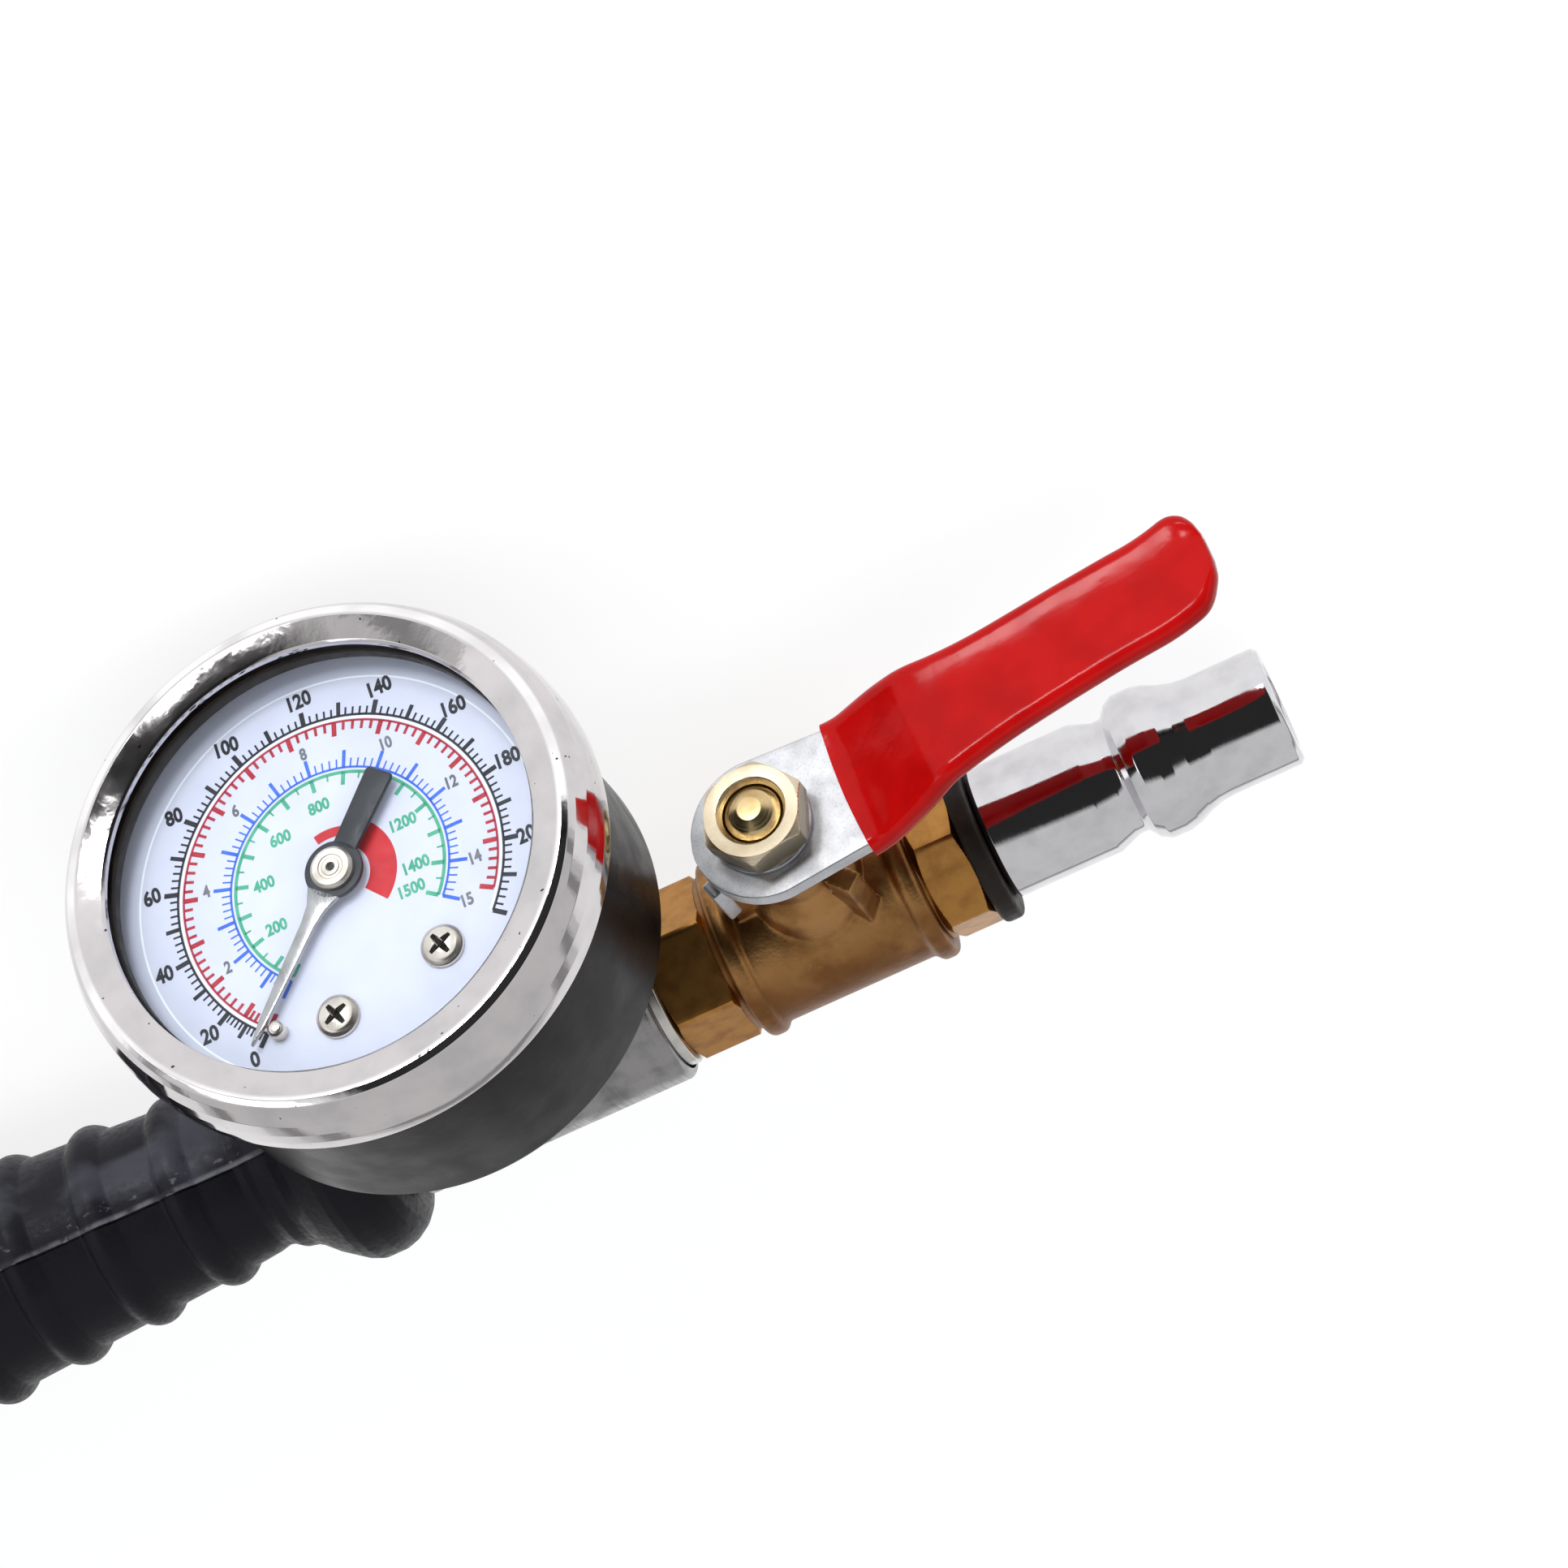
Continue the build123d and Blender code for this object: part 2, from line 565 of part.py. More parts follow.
def dial_posts():
    low = FRONT_PLATE + MOVEMENT_T
    posts = [rod(1.9, low, DIAL_FACE - 0.6, x, y) - rod(0.9, 45.5, 50, x, y)
             for x, y in DIAL_SCREWS]
    return GAUGE * Compound(posts)


def spiral_point(turn, shift):
    """A point on the hairspring's coil, shifted across the strip."""
    return polar(1.75 + 0.75 * turn / 360 + shift, turn)


def hairspring():
    turns = [15.0 * index for index in range(85)]
    outer = [spiral_point(turn, 0.08) for turn in turns]
    inner = [spiral_point(turn, -0.08) for turn in reversed(turns)]
    strip = extrude(make_face(Polyline(*outer, *inner, close=True)), 0.8)
    return GAUGE * Pos(0, 0, 39.8) * strip


def spring_collet():
    return GAUGE * ring(1.35, 0.75, 39.6, 40.8)


def spring_stud():
    end = spiral_point(15.0 * 84, 0.0)
    x, y = polar(math.hypot(*end) + 0.68, 15.0 * 84)
    return GAUGE * rod(0.6, 39.6, FRONT_PLATE, x, y)


PIECES = [tee_block, valve_nipple, core_tube, grip, sealing_ring, air_plug,
          valve_body, valve_end, ball, ball_seats, valve_stem, stem_seal,
          lever_plate, lever_sleeve, lever_washer, lever_nut,
          case, bezel, window, window_gasket, dial, dial_screws, stop_pin, pointer, pointer_hub,
          gauge_socket, bourdon_tube, tube_tip, link, link_pin, sector_gear, sector_arbor,
          pinion_shaft, back_plate, front_plate, movement_pillars, movement_screws, dial_posts,
          hairspring, spring_collet, spring_stud]

os.makedirs("parts", exist_ok=True)
for piece in PIECES:
    save(piece.__name__, piece())
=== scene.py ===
import math
import bmesh
import bpy
from mathutils import Matrix, Vector


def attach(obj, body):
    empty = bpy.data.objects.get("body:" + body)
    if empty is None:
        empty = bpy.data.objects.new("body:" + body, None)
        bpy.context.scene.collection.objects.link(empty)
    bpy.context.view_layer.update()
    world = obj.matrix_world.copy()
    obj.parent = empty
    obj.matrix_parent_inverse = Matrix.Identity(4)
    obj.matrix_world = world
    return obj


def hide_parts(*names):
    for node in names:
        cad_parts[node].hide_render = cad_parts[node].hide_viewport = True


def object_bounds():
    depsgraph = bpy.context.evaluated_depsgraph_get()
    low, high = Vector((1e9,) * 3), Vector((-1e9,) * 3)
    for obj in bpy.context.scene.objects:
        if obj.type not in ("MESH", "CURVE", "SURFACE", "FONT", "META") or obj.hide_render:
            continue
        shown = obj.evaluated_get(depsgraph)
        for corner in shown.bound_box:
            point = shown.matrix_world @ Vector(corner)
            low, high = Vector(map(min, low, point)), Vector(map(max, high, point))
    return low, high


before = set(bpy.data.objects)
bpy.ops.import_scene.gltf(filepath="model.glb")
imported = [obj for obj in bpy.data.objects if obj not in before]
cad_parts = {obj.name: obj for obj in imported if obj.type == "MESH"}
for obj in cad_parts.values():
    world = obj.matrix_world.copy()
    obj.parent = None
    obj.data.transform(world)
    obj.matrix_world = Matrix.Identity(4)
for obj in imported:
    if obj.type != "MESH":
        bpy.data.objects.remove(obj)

cad_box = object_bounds()

MM = 0.001
SENSOR, FRAME_PIXELS = 36, 1932
TEE_X, STEM_X, ROLL = 124, 36.2, 199.5

# The same frames as in the part's source: millimetres, the pipe along X, the dial facing -Y
SOURCE = (Matrix.Scale(MM, 4) @ Matrix.Translation((TEE_X, 0, 0))
          @ Matrix.Rotation(math.radians(ROLL), 4, "X"))
GAUGE = Matrix(((1, 0, 0, 0), (0, 0, -1, 0), (0, 1, 0, 0), (0, 0, 0, 1)))
PIPE = Matrix(((0, 0, 1, 0), (0, -1, 0, 0), (1, 0, 0, 0), (0, 0, 0, 1)))
STEM = Matrix.Translation((STEM_X, 0, 0)) @ GAUGE

# Where the halves of the casting and of the grip met: the seam's angle about the pipe, and the
# direction at a right angle to it
SEAM = math.radians(112)
ACROSS = (0.927, 0.375)


# Finishes

class Nodes:
    """A node tree with short ways to fill it."""

    def __init__(self, tree):
        self.tree = tree

    def node(self, kind, **settings):
        made = self.tree.nodes.new(kind)
        for key, value in settings.items():
            setattr(made, key, value)
        return made

    def link(self, start, end):
        if hasattr(start, "is_output"):
            self.tree.links.new(start, end)
        else:
            end.default_value = start

    def sum(self, kind, first, second):
        made = self.node("ShaderNodeMath", operation=kind)
        self.link(first, made.inputs[0])
        self.link(second, made.inputs[1])
        return made.outputs[0]

    def times(self, first, second):
        return self.sum("MULTIPLY", first, second)

    def ramp(self, value, low, high, start=0.0, end=1.0, kind="SMOOTHSTEP"):
        made = self.node("ShaderNodeMapRange", interpolation_type=kind)
        self.link(value, made.inputs["Value"])
        for key, number in (("From Min", low), ("From Max", high), ("To Min", start),
                            ("To Max", end)):
            made.inputs[key].default_value = number
        return made.outputs["Result"]

    def mix(self, factor, first, second):
        """Blend two colours."""
        made = self.node("ShaderNodeMix", data_type="RGBA")
        self.link(factor, made.inputs[0])
        for index, value in ((6, first), (7, second)):
            if hasattr(value, "is_output"):
                self.link(value, made.inputs[index])
            else:
                made.inputs[index].default_value = (*value, 1)
        return made.outputs[2]

    def blend(self, factor, first, second):
        """Blend two shaders."""
        made = self.node("ShaderNodeMixShader")
        for index, value in enumerate((factor, first, second)):
            self.link(value, made.inputs[index])
        return made.outputs[0]


class Finish(Nodes):
    """A procedural material whose patterns are laid out in the millimetres of one frame."""

    def __init__(self, name, place, **values):
        self.material = bpy.data.materials.new(name)
        self.material.use_nodes = True
        super().__init__(self.material.node_tree)
        self.shader = self.tree.nodes["Principled BSDF"]
        for key, value in values.items():
            self.shader.inputs[key.replace("_", " ")].default_value = value
        inverse = (SOURCE @ place).inverted()
        mapping = self.node("ShaderNodeMapping")
        mapping.inputs["Location"].default_value = inverse.to_translation()
        mapping.inputs["Rotation"].default_value = inverse.to_euler("XYZ")
        mapping.inputs["Scale"].default_value = (1 / MM, 1 / MM, 1 / MM)
        coords = self.node("ShaderNodeTexCoord")
        self.link(coords.outputs["Object"], mapping.inputs["Vector"])
        self.spot = mapping.outputs[0]
        self.axes = None
        self.last_bump = None

    def axis(self, index):
        if self.axes is None:
            self.axes = self.node("ShaderNodeSeparateXYZ")
            self.link(self.spot, self.axes.inputs[0])
        return self.axes.outputs[index]

    def across(self):
        """How far a point lies to one side of the seam's plane."""
        return self.sum("ADD", self.times(self.axis(0), ACROSS[0]),
                        self.times(self.axis(1), ACROSS[1]))

    def radius(self):
        """How far a point lies from the third axis."""
        squares = self.sum("ADD", self.sum("POWER", self.axis(0), 2.0),
                           self.sum("POWER", self.axis(1), 2.0))
        return self.sum("POWER", squares, 0.5)

    def noise(self, scale, detail=2.0, stretch=None):
        spot = self.spot
        if stretch:
            mapping = self.node("ShaderNodeMapping")
            mapping.inputs["Scale"].default_value = stretch
            self.link(spot, mapping.inputs["Vector"])
            spot = mapping.outputs[0]
        made = self.node("ShaderNodeTexNoise")
        self.link(spot, made.inputs["Vector"])
        made.inputs["Scale"].default_value = scale
        made.inputs["Detail"].default_value = detail
        return made.outputs["Fac"]

    def color(self, value):
        self.link(value, self.shader.inputs["Base Color"])

    def rough(self, value):
        self.link(value, self.shader.inputs["Roughness"])

    def bump(self, height, depth):
        """Raise the surface by height times depth in millimetres."""
        made = self.node("ShaderNodeBump")
        made.inputs["Strength"].default_value = 1.0
        made.inputs["Distance"].default_value = depth * MM
        self.link(height, made.inputs["Height"])
        if self.last_bump:
            self.link(self.last_bump, made.inputs["Normal"])
        self.last_bump = made.outputs[0]
        self.link(self.last_bump, self.shader.inputs["Normal"])


def plated(name, place, color, dark, rough, lathed=True):
    """Bright plating with faint turning marks and small stains."""
    made = Finish(name, place, Metallic=1.0)
    cloud = made.noise(0.35, 3.0)
    made.color(made.mix(made.ramp(cloud, 0.35, 0.75), color, dark))
    lines = made.noise(1.0, 2.0, (0.05, 0.05, 9.0) if lathed else (6.0, 0.3, 6.0))
    made.rough(made.sum("ADD", made.ramp(cloud, 0.4, 0.8, rough, rough * 1.8),
                        made.ramp(lines, 0.4, 0.7, 0.0, rough * 0.6)))
    made.bump(lines, 0.003)
    made.bump(made.noise(0.9, 2.0), 0.006)
    return made.material


def zinc_plate():
    """Bright zinc on sheet steel: evenly dull, with a fine sparkle."""
    made = Finish("zinc_plate", STEM, Metallic=1.0)
    cloud = made.ramp(made.noise(0.5, 3.0), 0.3, 0.7, 0.0, 0.5)
    sparkle = made.ramp(made.noise(5.0, 2.0), 0.52, 0.66, 0.0, 0.5)
    made.color(made.mix(made.sum("ADD", cloud, sparkle), (0.66, 0.665, 0.69),
                        (0.47, 0.48, 0.505)))
    made.rough(made.ramp(made.noise(0.4, 2.0), 0.3, 0.7, 0.42, 0.50))
    made.bump(made.noise(4.0, 2.0), 0.004)
    return made.material


def painted(name, place, color, wear_and_sheen, rough, grain, depth, **values):
    """A coat of paint, ink or plastic with a slight texture."""
    made = Finish(name, place, **values)
    made.color(made.mix(made.ramp(made.noise(grain * 0.12, 4.0), 0.35, 0.75), color, wear_and_sheen))
    made.rough(made.ramp(made.noise(grain * 0.3, 2.0), 0.3, 0.7, rough * 0.85, rough * 1.15))
    made.bump(made.noise(grain, 2.0), depth)
    return made.material


def bezel_chrome():
    """Rolled chrome, a little uneven, with a few pits and dull marks."""
    made = Finish("chrome_bezel", GAUGE, Metallic=1.0)
    cloud = made.noise(0.22, 3.0)
    skin = made.mix(made.ramp(cloud, 0.35, 0.75), (0.66, 0.63, 0.635), (0.56, 0.54, 0.55))
    # A painted highlight: a brighter line is painted round the crest of the roll
    out = made.radius()
    painted_crest_highlight = made.times(made.ramp(out, 24.75, 25.1), made.ramp(out, 26.0, 25.7))
    painted_crest_highlight = made.times(painted_crest_highlight, made.ramp(made.noise(0.12, 2.0), 0.3, 0.6, 0.35, 1.0))
    skin = made.mix(painted_crest_highlight, skin, (0.97, 0.96, 0.965))
    pits = made.ramp(made.noise(1.3, 1.0), 0.76, 0.79)
    made.color(made.mix(pits, skin, (0.06, 0.06, 0.062)))
    made.rough(made.ramp(cloud, 0.4, 0.8, 0.06, 0.13))
    made.bump(made.noise(0.35, 3.0, (1.0, 1.0, 0.4)), 0.03)
    return made.material


def cast_brass():
    """Tumbled forging skin, with the machined hexagons left brighter."""
    made = Finish("cast_brass", PIPE, Metallic=1.0)
    skin = made.mix(made.ramp(made.noise(0.25, 4.0), 0.35, 0.7), (0.45, 0.235, 0.085),
                    (0.25, 0.12, 0.040))
    skin = made.mix(made.ramp(made.noise(1.2, 3.0), 0.62, 0.78, 0.0, 0.6), skin,
                    (0.46, 0.28, 0.11))
    # Painted shade: one side of the body, beyond the seam's plane, is painted darker
    painted_side_shade = made.times(made.ramp(made.across(), -1.5, -9.5),
                         made.ramp(made.noise(0.3, 3.0), 0.3, 0.6, 0.55, 0.9))
    skin = made.mix(painted_side_shade, skin, (0.17, 0.066, 0.020))
    cut = made.mix(made.ramp(made.noise(0.5, 3.0), 0.35, 0.75), (0.50, 0.245, 0.066),
                   (0.35, 0.16, 0.044))
    along = made.axis(2)
    machined = made.sum("ADD", made.ramp(along, 24.3, 24.1), made.ramp(along, 46.9, 47.3))
    made.color(made.mix(machined, skin, cut))
    made.rough(made.ramp(machined, 0.0, 1.0, 0.40, 0.38, "LINEAR"))
    rest = made.sum("SUBTRACT", 1.0, made.times(machined, 0.85))
    made.bump(made.times(made.noise(3.0, 4.0), rest), 0.03)
    made.bump(made.times(made.noise(0.45, 2.0), rest), 0.08)
    return made.material


def grip_rubber():
    """Charcoal rubber with a fine grain; one mould half is painted paler in patches as a painted
    sheen, with painted glints, a painted highlight and painted shade along the seam.
    """
    made = Finish("grip_rubber_skin", PIPE, Specular_IOR_Level=0.12)
    across = made.across()
    # Painted sheen: the half on one side of the seam is painted paler, in patches
    half = made.ramp(across, -0.15, 0.15)
    sheen_patch = made.ramp(made.noise(0.14, 4.0, (1.0, 1.0, 0.5)), 0.48, 0.68, 0.10, 1.0)
    skin = made.mix(made.times(half, sheen_patch), (0.006, 0.006, 0.0085), (0.042, 0.042, 0.054))
    # Painted glints: pale specks on the paler half near the seam
    near = made.times(half, made.ramp(across, 3.2, 0.4))
    painted_glints = made.ramp(made.noise(1.1, 3.0, (1.0, 1.0, 0.6)), 0.60, 0.72)
    skin = made.mix(made.times(near, painted_glints), skin, (0.11, 0.11, 0.13))
    # Painted highlight along the seam's ridge, broken up by noise
    edge = made.times(made.ramp(across, 0.12, 0.25), made.ramp(across, 0.9, 0.4))
    wear_and_sheen = made.ramp(made.noise(0.25, 3.0), 0.40, 0.60, 0.1, 1.0)
    skin = made.mix(made.times(edge, wear_and_sheen), skin, (0.10, 0.10, 0.115))
    # Painted shade: a near-black line painted along the seam
    line = made.times(made.ramp(across, -0.16, -0.08), made.ramp(across, 0.16, 0.08))
    made.color(made.mix(line, skin, (0.001, 0.001, 0.0012)))
    made.rough(made.ramp(made.noise(1.5, 3.0), 0.3, 0.7, 0.30, 0.46))
    made.bump(made.noise(5.0, 3.0), 0.02)
    made.bump(made.noise(0.6, 2.0), 0.06)
    return made.material


def red_vinyl():
    """Dipped vinyl: glossy, slightly uneven and a little translucent."""
    made = Finish("red_vinyl_dip", STEM, Specular_IOR_Level=0.14)
    made.shader.inputs["Subsurface Weight"].default_value = 0.08
    made.shader.inputs["Subsurface Radius"].default_value = (0.0010, 0.0002, 0.0002)
    made.color(made.mix(made.ramp(made.noise(0.2, 3.0), 0.35, 0.7), (0.39, 0.003, 0.003),
                        (0.33, 0.002, 0.002)))
    made.rough(made.ramp(made.noise(0.3, 3.0), 0.35, 0.75, 0.12, 0.18))
    made.bump(made.noise(0.22, 1.0), 0.10)
    made.bump(made.noise(1.2, 2.0), 0.012)
    return made.material


def clear_glass():
    """Thin clear glass: seen through, with a plain reflection on it."""
    made = Finish("clear_glass", GAUGE)
    made.tree.nodes.remove(made.shader)
    clear = made.node("ShaderNodeBsdfTransparent")
    made.link(made.mix(made.ramp(made.noise(0.2, 2.0), 0.3, 0.8), (0.97, 0.985, 1.0),
                       (0.94, 0.96, 0.98)), clear.inputs["Color"])
    shine = made.node("ShaderNodeBsdfGlossy")
    made.link(made.ramp(made.noise(0.4, 3.0), 0.4, 0.8, 0.01, 0.05), shine.inputs["Roughness"])
    edge = made.node("ShaderNodeFresnel")
    edge.inputs["IOR"].default_value = 1.25
    # The sheet is seen straight through, so only its outer faces reflect
    inner = made.node("ShaderNodeNewGeometry").outputs["Backfacing"]
    mirrored = made.times(edge.outputs[0], made.sum("SUBTRACT", 1.0, inner))
    made.link(made.blend(mirrored, clear.outputs[0], shine.outputs[0]),
              made.tree.nodes["Material Output"].inputs["Surface"])
    return made.material


CHROME = plated("chrome_plug", PIPE, (0.72, 0.71, 0.73), (0.63, 0.62, 0.64), 0.06)
BEZEL = bezel_chrome()
NICKEL = plated("nickel_turned", PIPE, (0.66, 0.65, 0.62), (0.50, 0.49, 0.47), 0.22)
TEE = plated("nickel_tee", PIPE, (0.33, 0.32, 0.32), (0.22, 0.22, 0.225), 0.24)
ZINC = zinc_plate()
YELLOW = plated("yellow_zinc_nut", STEM, (0.72, 0.62, 0.46), (0.52, 0.43, 0.30), 0.20)
STEM_BRASS = plated("brass_stem", STEM, (0.78, 0.60, 0.32), (0.58, 0.40, 0.18), 0.24)
BRASS = plated("brass_turned", GAUGE, (0.70, 0.52, 0.26), (0.54, 0.37, 0.16), 0.24)
MOVEMENT = plated("brass_movement", GAUGE, (0.76, 0.60, 0.31), (0.62, 0.45, 0.20), 0.26, False)
BRONZE = plated("bronze_tube", GAUGE, (0.62, 0.40, 0.20), (0.46, 0.27, 0.13), 0.30)
STEEL = plated("steel_screw", GAUGE, (0.92, 0.83, 0.72), (0.66, 0.58, 0.49), 0.24)
HUB = plated("nickel_hub", GAUGE, (0.95, 0.86, 0.75), (0.80, 0.71, 0.60), 0.28)
NEEDLE = plated("grey_needle", GAUGE, (0.52, 0.50, 0.48), (0.36, 0.345, 0.33), 0.16, False)
BALL = plated("chrome_ball", STEM, (0.80, 0.81, 0.82), (0.70, 0.71, 0.73), 0.07)
CASE = painted("case_paint_coat", GAUGE, (0.004, 0.0035, 0.004), (0.006, 0.0055, 0.006), 0.30,
               0.8, 0.01, Specular_IOR_Level=0.05)
DIAL = painted("dial_white", GAUGE, (0.66, 0.665, 0.76), (0.64, 0.645, 0.745), 0.45, 2.0, 0.003)
SEAL = painted("seal_rubber_skin", GAUGE, (0.010, 0.007, 0.005), (0.018, 0.012, 0.009), 0.5,
               3.0, 0.02, Specular_IOR_Level=0.2)
TAIL = painted("black_tail", GAUGE, (0.022, 0.022, 0.024), (0.035, 0.035, 0.037), 0.40, 3.0, 0.01)
SEAT = painted("seat_white", PIPE, (0.80, 0.80, 0.77), (0.74, 0.73, 0.70), 0.40, 2.0, 0.01)
INK = {}
for ink, color, wear_and_sheen, rough in (
        ("black", (0.012, 0.012, 0.016), (0.03, 0.03, 0.035), 0.5),
        ("red", (0.42, 0.01, 0.025), (0.50, 0.03, 0.045), 0.5),
        ("signal", (0.60, 0.02, 0.025), (0.52, 0.015, 0.02), 0.5),
        ("blue", (0.03, 0.12, 0.62), (0.06, 0.17, 0.70), 0.5),
        ("green", (0.05, 0.36, 0.20), (0.10, 0.44, 0.27), 0.5),
        ("grey", (0.13, 0.13, 0.15), (0.20, 0.20, 0.22), 0.5),
        ("white", (0.92, 0.94, 0.96), (0.88, 0.90, 0.93), 0.4)):
    INK[ink] = painted(f"ink_{ink}", GAUGE, color, wear_and_sheen, rough, 4.0, 0.002)
CAST = cast_brass()
RUBBER = grip_rubber()
VINYL = red_vinyl()
GLASS = clear_glass()


# Meshes: every piece is made of vertices and faces in one frame's millimetres

def rounded(points, size=0.3, steps=4):
    """A closed outline of (radius, height) whose corners are turned into small curves."""
    out = []
    count = len(points)
    for index, point in enumerate(points):
        here = Vector(point[:2])
        wish = point[2] if len(point) > 2 else size
        back = Vector(points[index - 1][:2]) - here
        ahead = Vector(points[(index + 1) % count][:2]) - here
        turn = back.angle(ahead)
        if here.x == 0 or wish == 0 or turn > 3.1:
            out.append(tuple(here))
            continue
        reach = min(wish / math.tan(turn / 2), 0.45 * back.length, 0.45 * ahead.length)
        start = here + back.normalized() * reach
        end = here + ahead.normalized() * reach
        for step in range(steps + 1):
            t = step / steps
            spot = start * (1 - t) ** 2 + here * (2 * t * (1 - t)) + end * t ** 2
            out.append(tuple(spot))
    return out


def spin(outline, segments=144, shape=None):
    """Turn a closed outline about the third axis. shape(radius, height, angle) may pull it in."""
    verts, faces, rows = [], [], []
    for radius, height in outline:
        if radius < 1e-6:
            rows.append([len(verts)] * segments)
            verts.append((0, 0, height))
            continue
        rows.append(list(range(len(verts), len(verts) + segments)))
        for index in range(segments):
            angle = 2 * math.pi * index / segments
            reach = shape(radius, height, angle) if shape else radius
            verts.append((reach * math.cos(angle), reach * math.sin(angle), height))
    for row, after in zip(rows, rows[1:] + rows[:1]):
        for index in range(segments):
            other = (index + 1) % segments
            corners = dict.fromkeys((row[index], row[other], after[other], after[index]))
            if len(corners) > 2:
                faces.append(list(corners))
    return verts, faces


def prism(points, low, high):
    """A flat outline raised between two heights."""
    count = len(points)
    verts = [(x, y, low) for x, y in points] + [(x, y, high) for x, y in points]
    faces = [list(range(count))[::-1], list(range(count, 2 * count))]
    for index in range(count):
        other = (index + 1) % count
        faces.append([index, other, other + count, index + count])
    return verts, faces


def joined(*shapes):
    """Several shapes as one."""
    verts, faces = [], []
    for more, sides in shapes:
        base = len(verts)
        verts += more
        faces += [[base + index for index in side] for side in sides]
    return verts, faces


def placed(shape, matrix):
    """A shape moved within its frame."""
    return [tuple(matrix @ Vector(spot)) for spot in shape[0]], shape[1]


def added(name, data):
    """A new object in the scene."""
    made = bpy.data.objects.new(name, data)
    bpy.context.scene.collection.objects.link(made)
    return made


def mesh_object(name, shape, place):
    """A shape of one frame's millimetres as an object, its faces turned outward."""
    mesh = bpy.data.meshes.new(name)
    whole = SOURCE @ place
    mesh.from_pydata([whole @ Vector(spot) for spot in shape[0]], [], shape[1])
    solid = bmesh.new()
    solid.from_mesh(mesh)
    bmesh.ops.recalc_face_normals(solid, faces=solid.faces)
    solid.to_mesh(mesh)
    solid.free()
    return added(name, mesh)


def baked(piece):
    """Apply the piece's modifiers."""
    graph = bpy.context.evaluated_depsgraph_get()
    made = bpy.data.meshes.new_from_object(piece.evaluated_get(graph))
    piece.modifiers.clear()
    old = piece.data
    piece.data = made
    bpy.data.meshes.remove(old)


def cut(piece, *tools):
    """Take the tools, given as objects, out of the piece."""
    for tool in tools:
        step = piece.modifiers.new("cut", "BOOLEAN")
        step.operation = "DIFFERENCE"
        step.solver = "EXACT"
        step.object = tool
    baked(piece)
    for tool in tools:
        bpy.data.objects.remove(tool)


def fused(piece, voxel, rounds):
    """Melt overlapping shapes into one skin and soften where they meet."""
    step = piece.modifiers.new("skin", "REMESH")
    step.mode = "VOXEL"
    step.voxel_size = voxel * MM
    soft = piece.modifiers.new("soft", "SMOOTH")
    soft.factor = 0.5
    soft.iterations = rounds
    baked(piece)


def softened(piece, width):
    """Round the sharp edges off."""
    step = piece.modifiers.new("edge", "BEVEL")
    step.width = width * MM
    step.segments = 3
    step.limit_method = "ANGLE"
    baked(piece)


def finish(piece, material, body="base", node=None, crease=30):
    piece.data.materials.clear()
    piece.data.materials.append(material)
    piece.data.shade_smooth()
    piece.data.set_sharp_from_angle(angle=math.radians(crease))
    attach(piece, body)
    if node:
        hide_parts(node)


def turned(name, place, outline, material, body="base", node=None, size=0.3,
           segments=144, shape=None, crease=30):
    """A piece turned about the third axis of its frame."""
    piece = mesh_object(name, spin(rounded(outline, size), segments, shape), place)
    finish(piece, material, body, node, crease)


# Hexagons from centre to corner, and how much of that their turned corners keep
BODY_HEX, NUT_HEX = 9.24, 5.78
CORNER_KEPT = 0.988


def hexed(corner, turn, low, high):
    """A shape function for spin: flats of a hexagon between two heights."""
    flat = corner * math.cos(math.pi / 6)
    start = math.radians(turn)

    def pull(radius, height, angle):
        if not low <= height <= high:
            return radius
        part = (angle - start) % (math.pi / 3) - math.pi / 6
        return min(radius, flat / math.cos(part), corner * CORNER_KEPT)
    return pull


def bevelled(corner, low, high, bevel, steps=10):
    """The outline of a hexagonal bar's turned ends, with close rings where the bevels run."""
    flat = corner * math.cos(math.pi / 6) - 0.05
    rise = [(flat + (corner - flat) * t / steps, bevel * t / steps) for t in range(steps + 1)]
    return [(r, low + h, 0) for r, h in rise] + [(r, high - h, 0) for r, h in reversed(rise)]


# Pipe run

BORE_R, THREAD_R = 3.0, 6.58
GRIP_END, INLET_END = -112.2, -124.0
RINGS, FIRST_RING, RING_PITCH, RING_STEP, RING_RISE = 8, -37.9, 9.3, 0.28, 1.05
THREAD_PITCH, THREAD_DEPTH = 1.411, 0.62
SEAM_RISE, SEAM_WIDE = 0.12, 0.22


def seam(radius, height, angle):
    """Two faint ridges where the halves of the mould met."""
    away = min(abs((angle - SEAM + math.pi) % (2 * math.pi) - math.pi),
               abs((angle - SEAM) % (2 * math.pi) - math.pi))
    if radius < 8:
        return radius
    return radius + SEAM_RISE * math.exp(-(away * radius / SEAM_WIDE) ** 2)


def neck(x):
    """The grip's radius between its rings, which grows toward the hand."""
    return min(10.1 - 0.065 * (x + 42.3), 12.3)


def build_grip():
    outline = [(7.0, -16.2, 0.2), (11.0, -16.2), (12.4, -16.7), (13.4, -17.6), (14.2, -18.9),
               (14.58, -20.2), (14.58, -22.4), (14.1, -23.6), (12.3, -26.1), (10.9, -27.6),
               (10.4, -28.4), (10.1, -29.7), (9.3, -30.8), (9.1, -31.6), (9.4, -33.0)]
    for index in range(RINGS):
        middle = FIRST_RING - index * RING_PITCH
        for step in range(-8, 9):
            x = middle - step * RING_STEP
            swell = max(0.0, math.cos(min(abs(step) / 7.0, 1.0) * math.pi / 2))
            outline.append((neck(x) + RING_RISE * swell ** 0.75, x, 0))
    outline += [(12.3, GRIP_END + 1.6), (11.9, GRIP_END + 0.5), (11.2, GRIP_END),
                (7.0, GRIP_END, 0.2)]
    turned("grip_sleeve", PIPE, outline, RUBBER, node="grip", size=0.8,
           segments=224, shape=seam, crease=60)


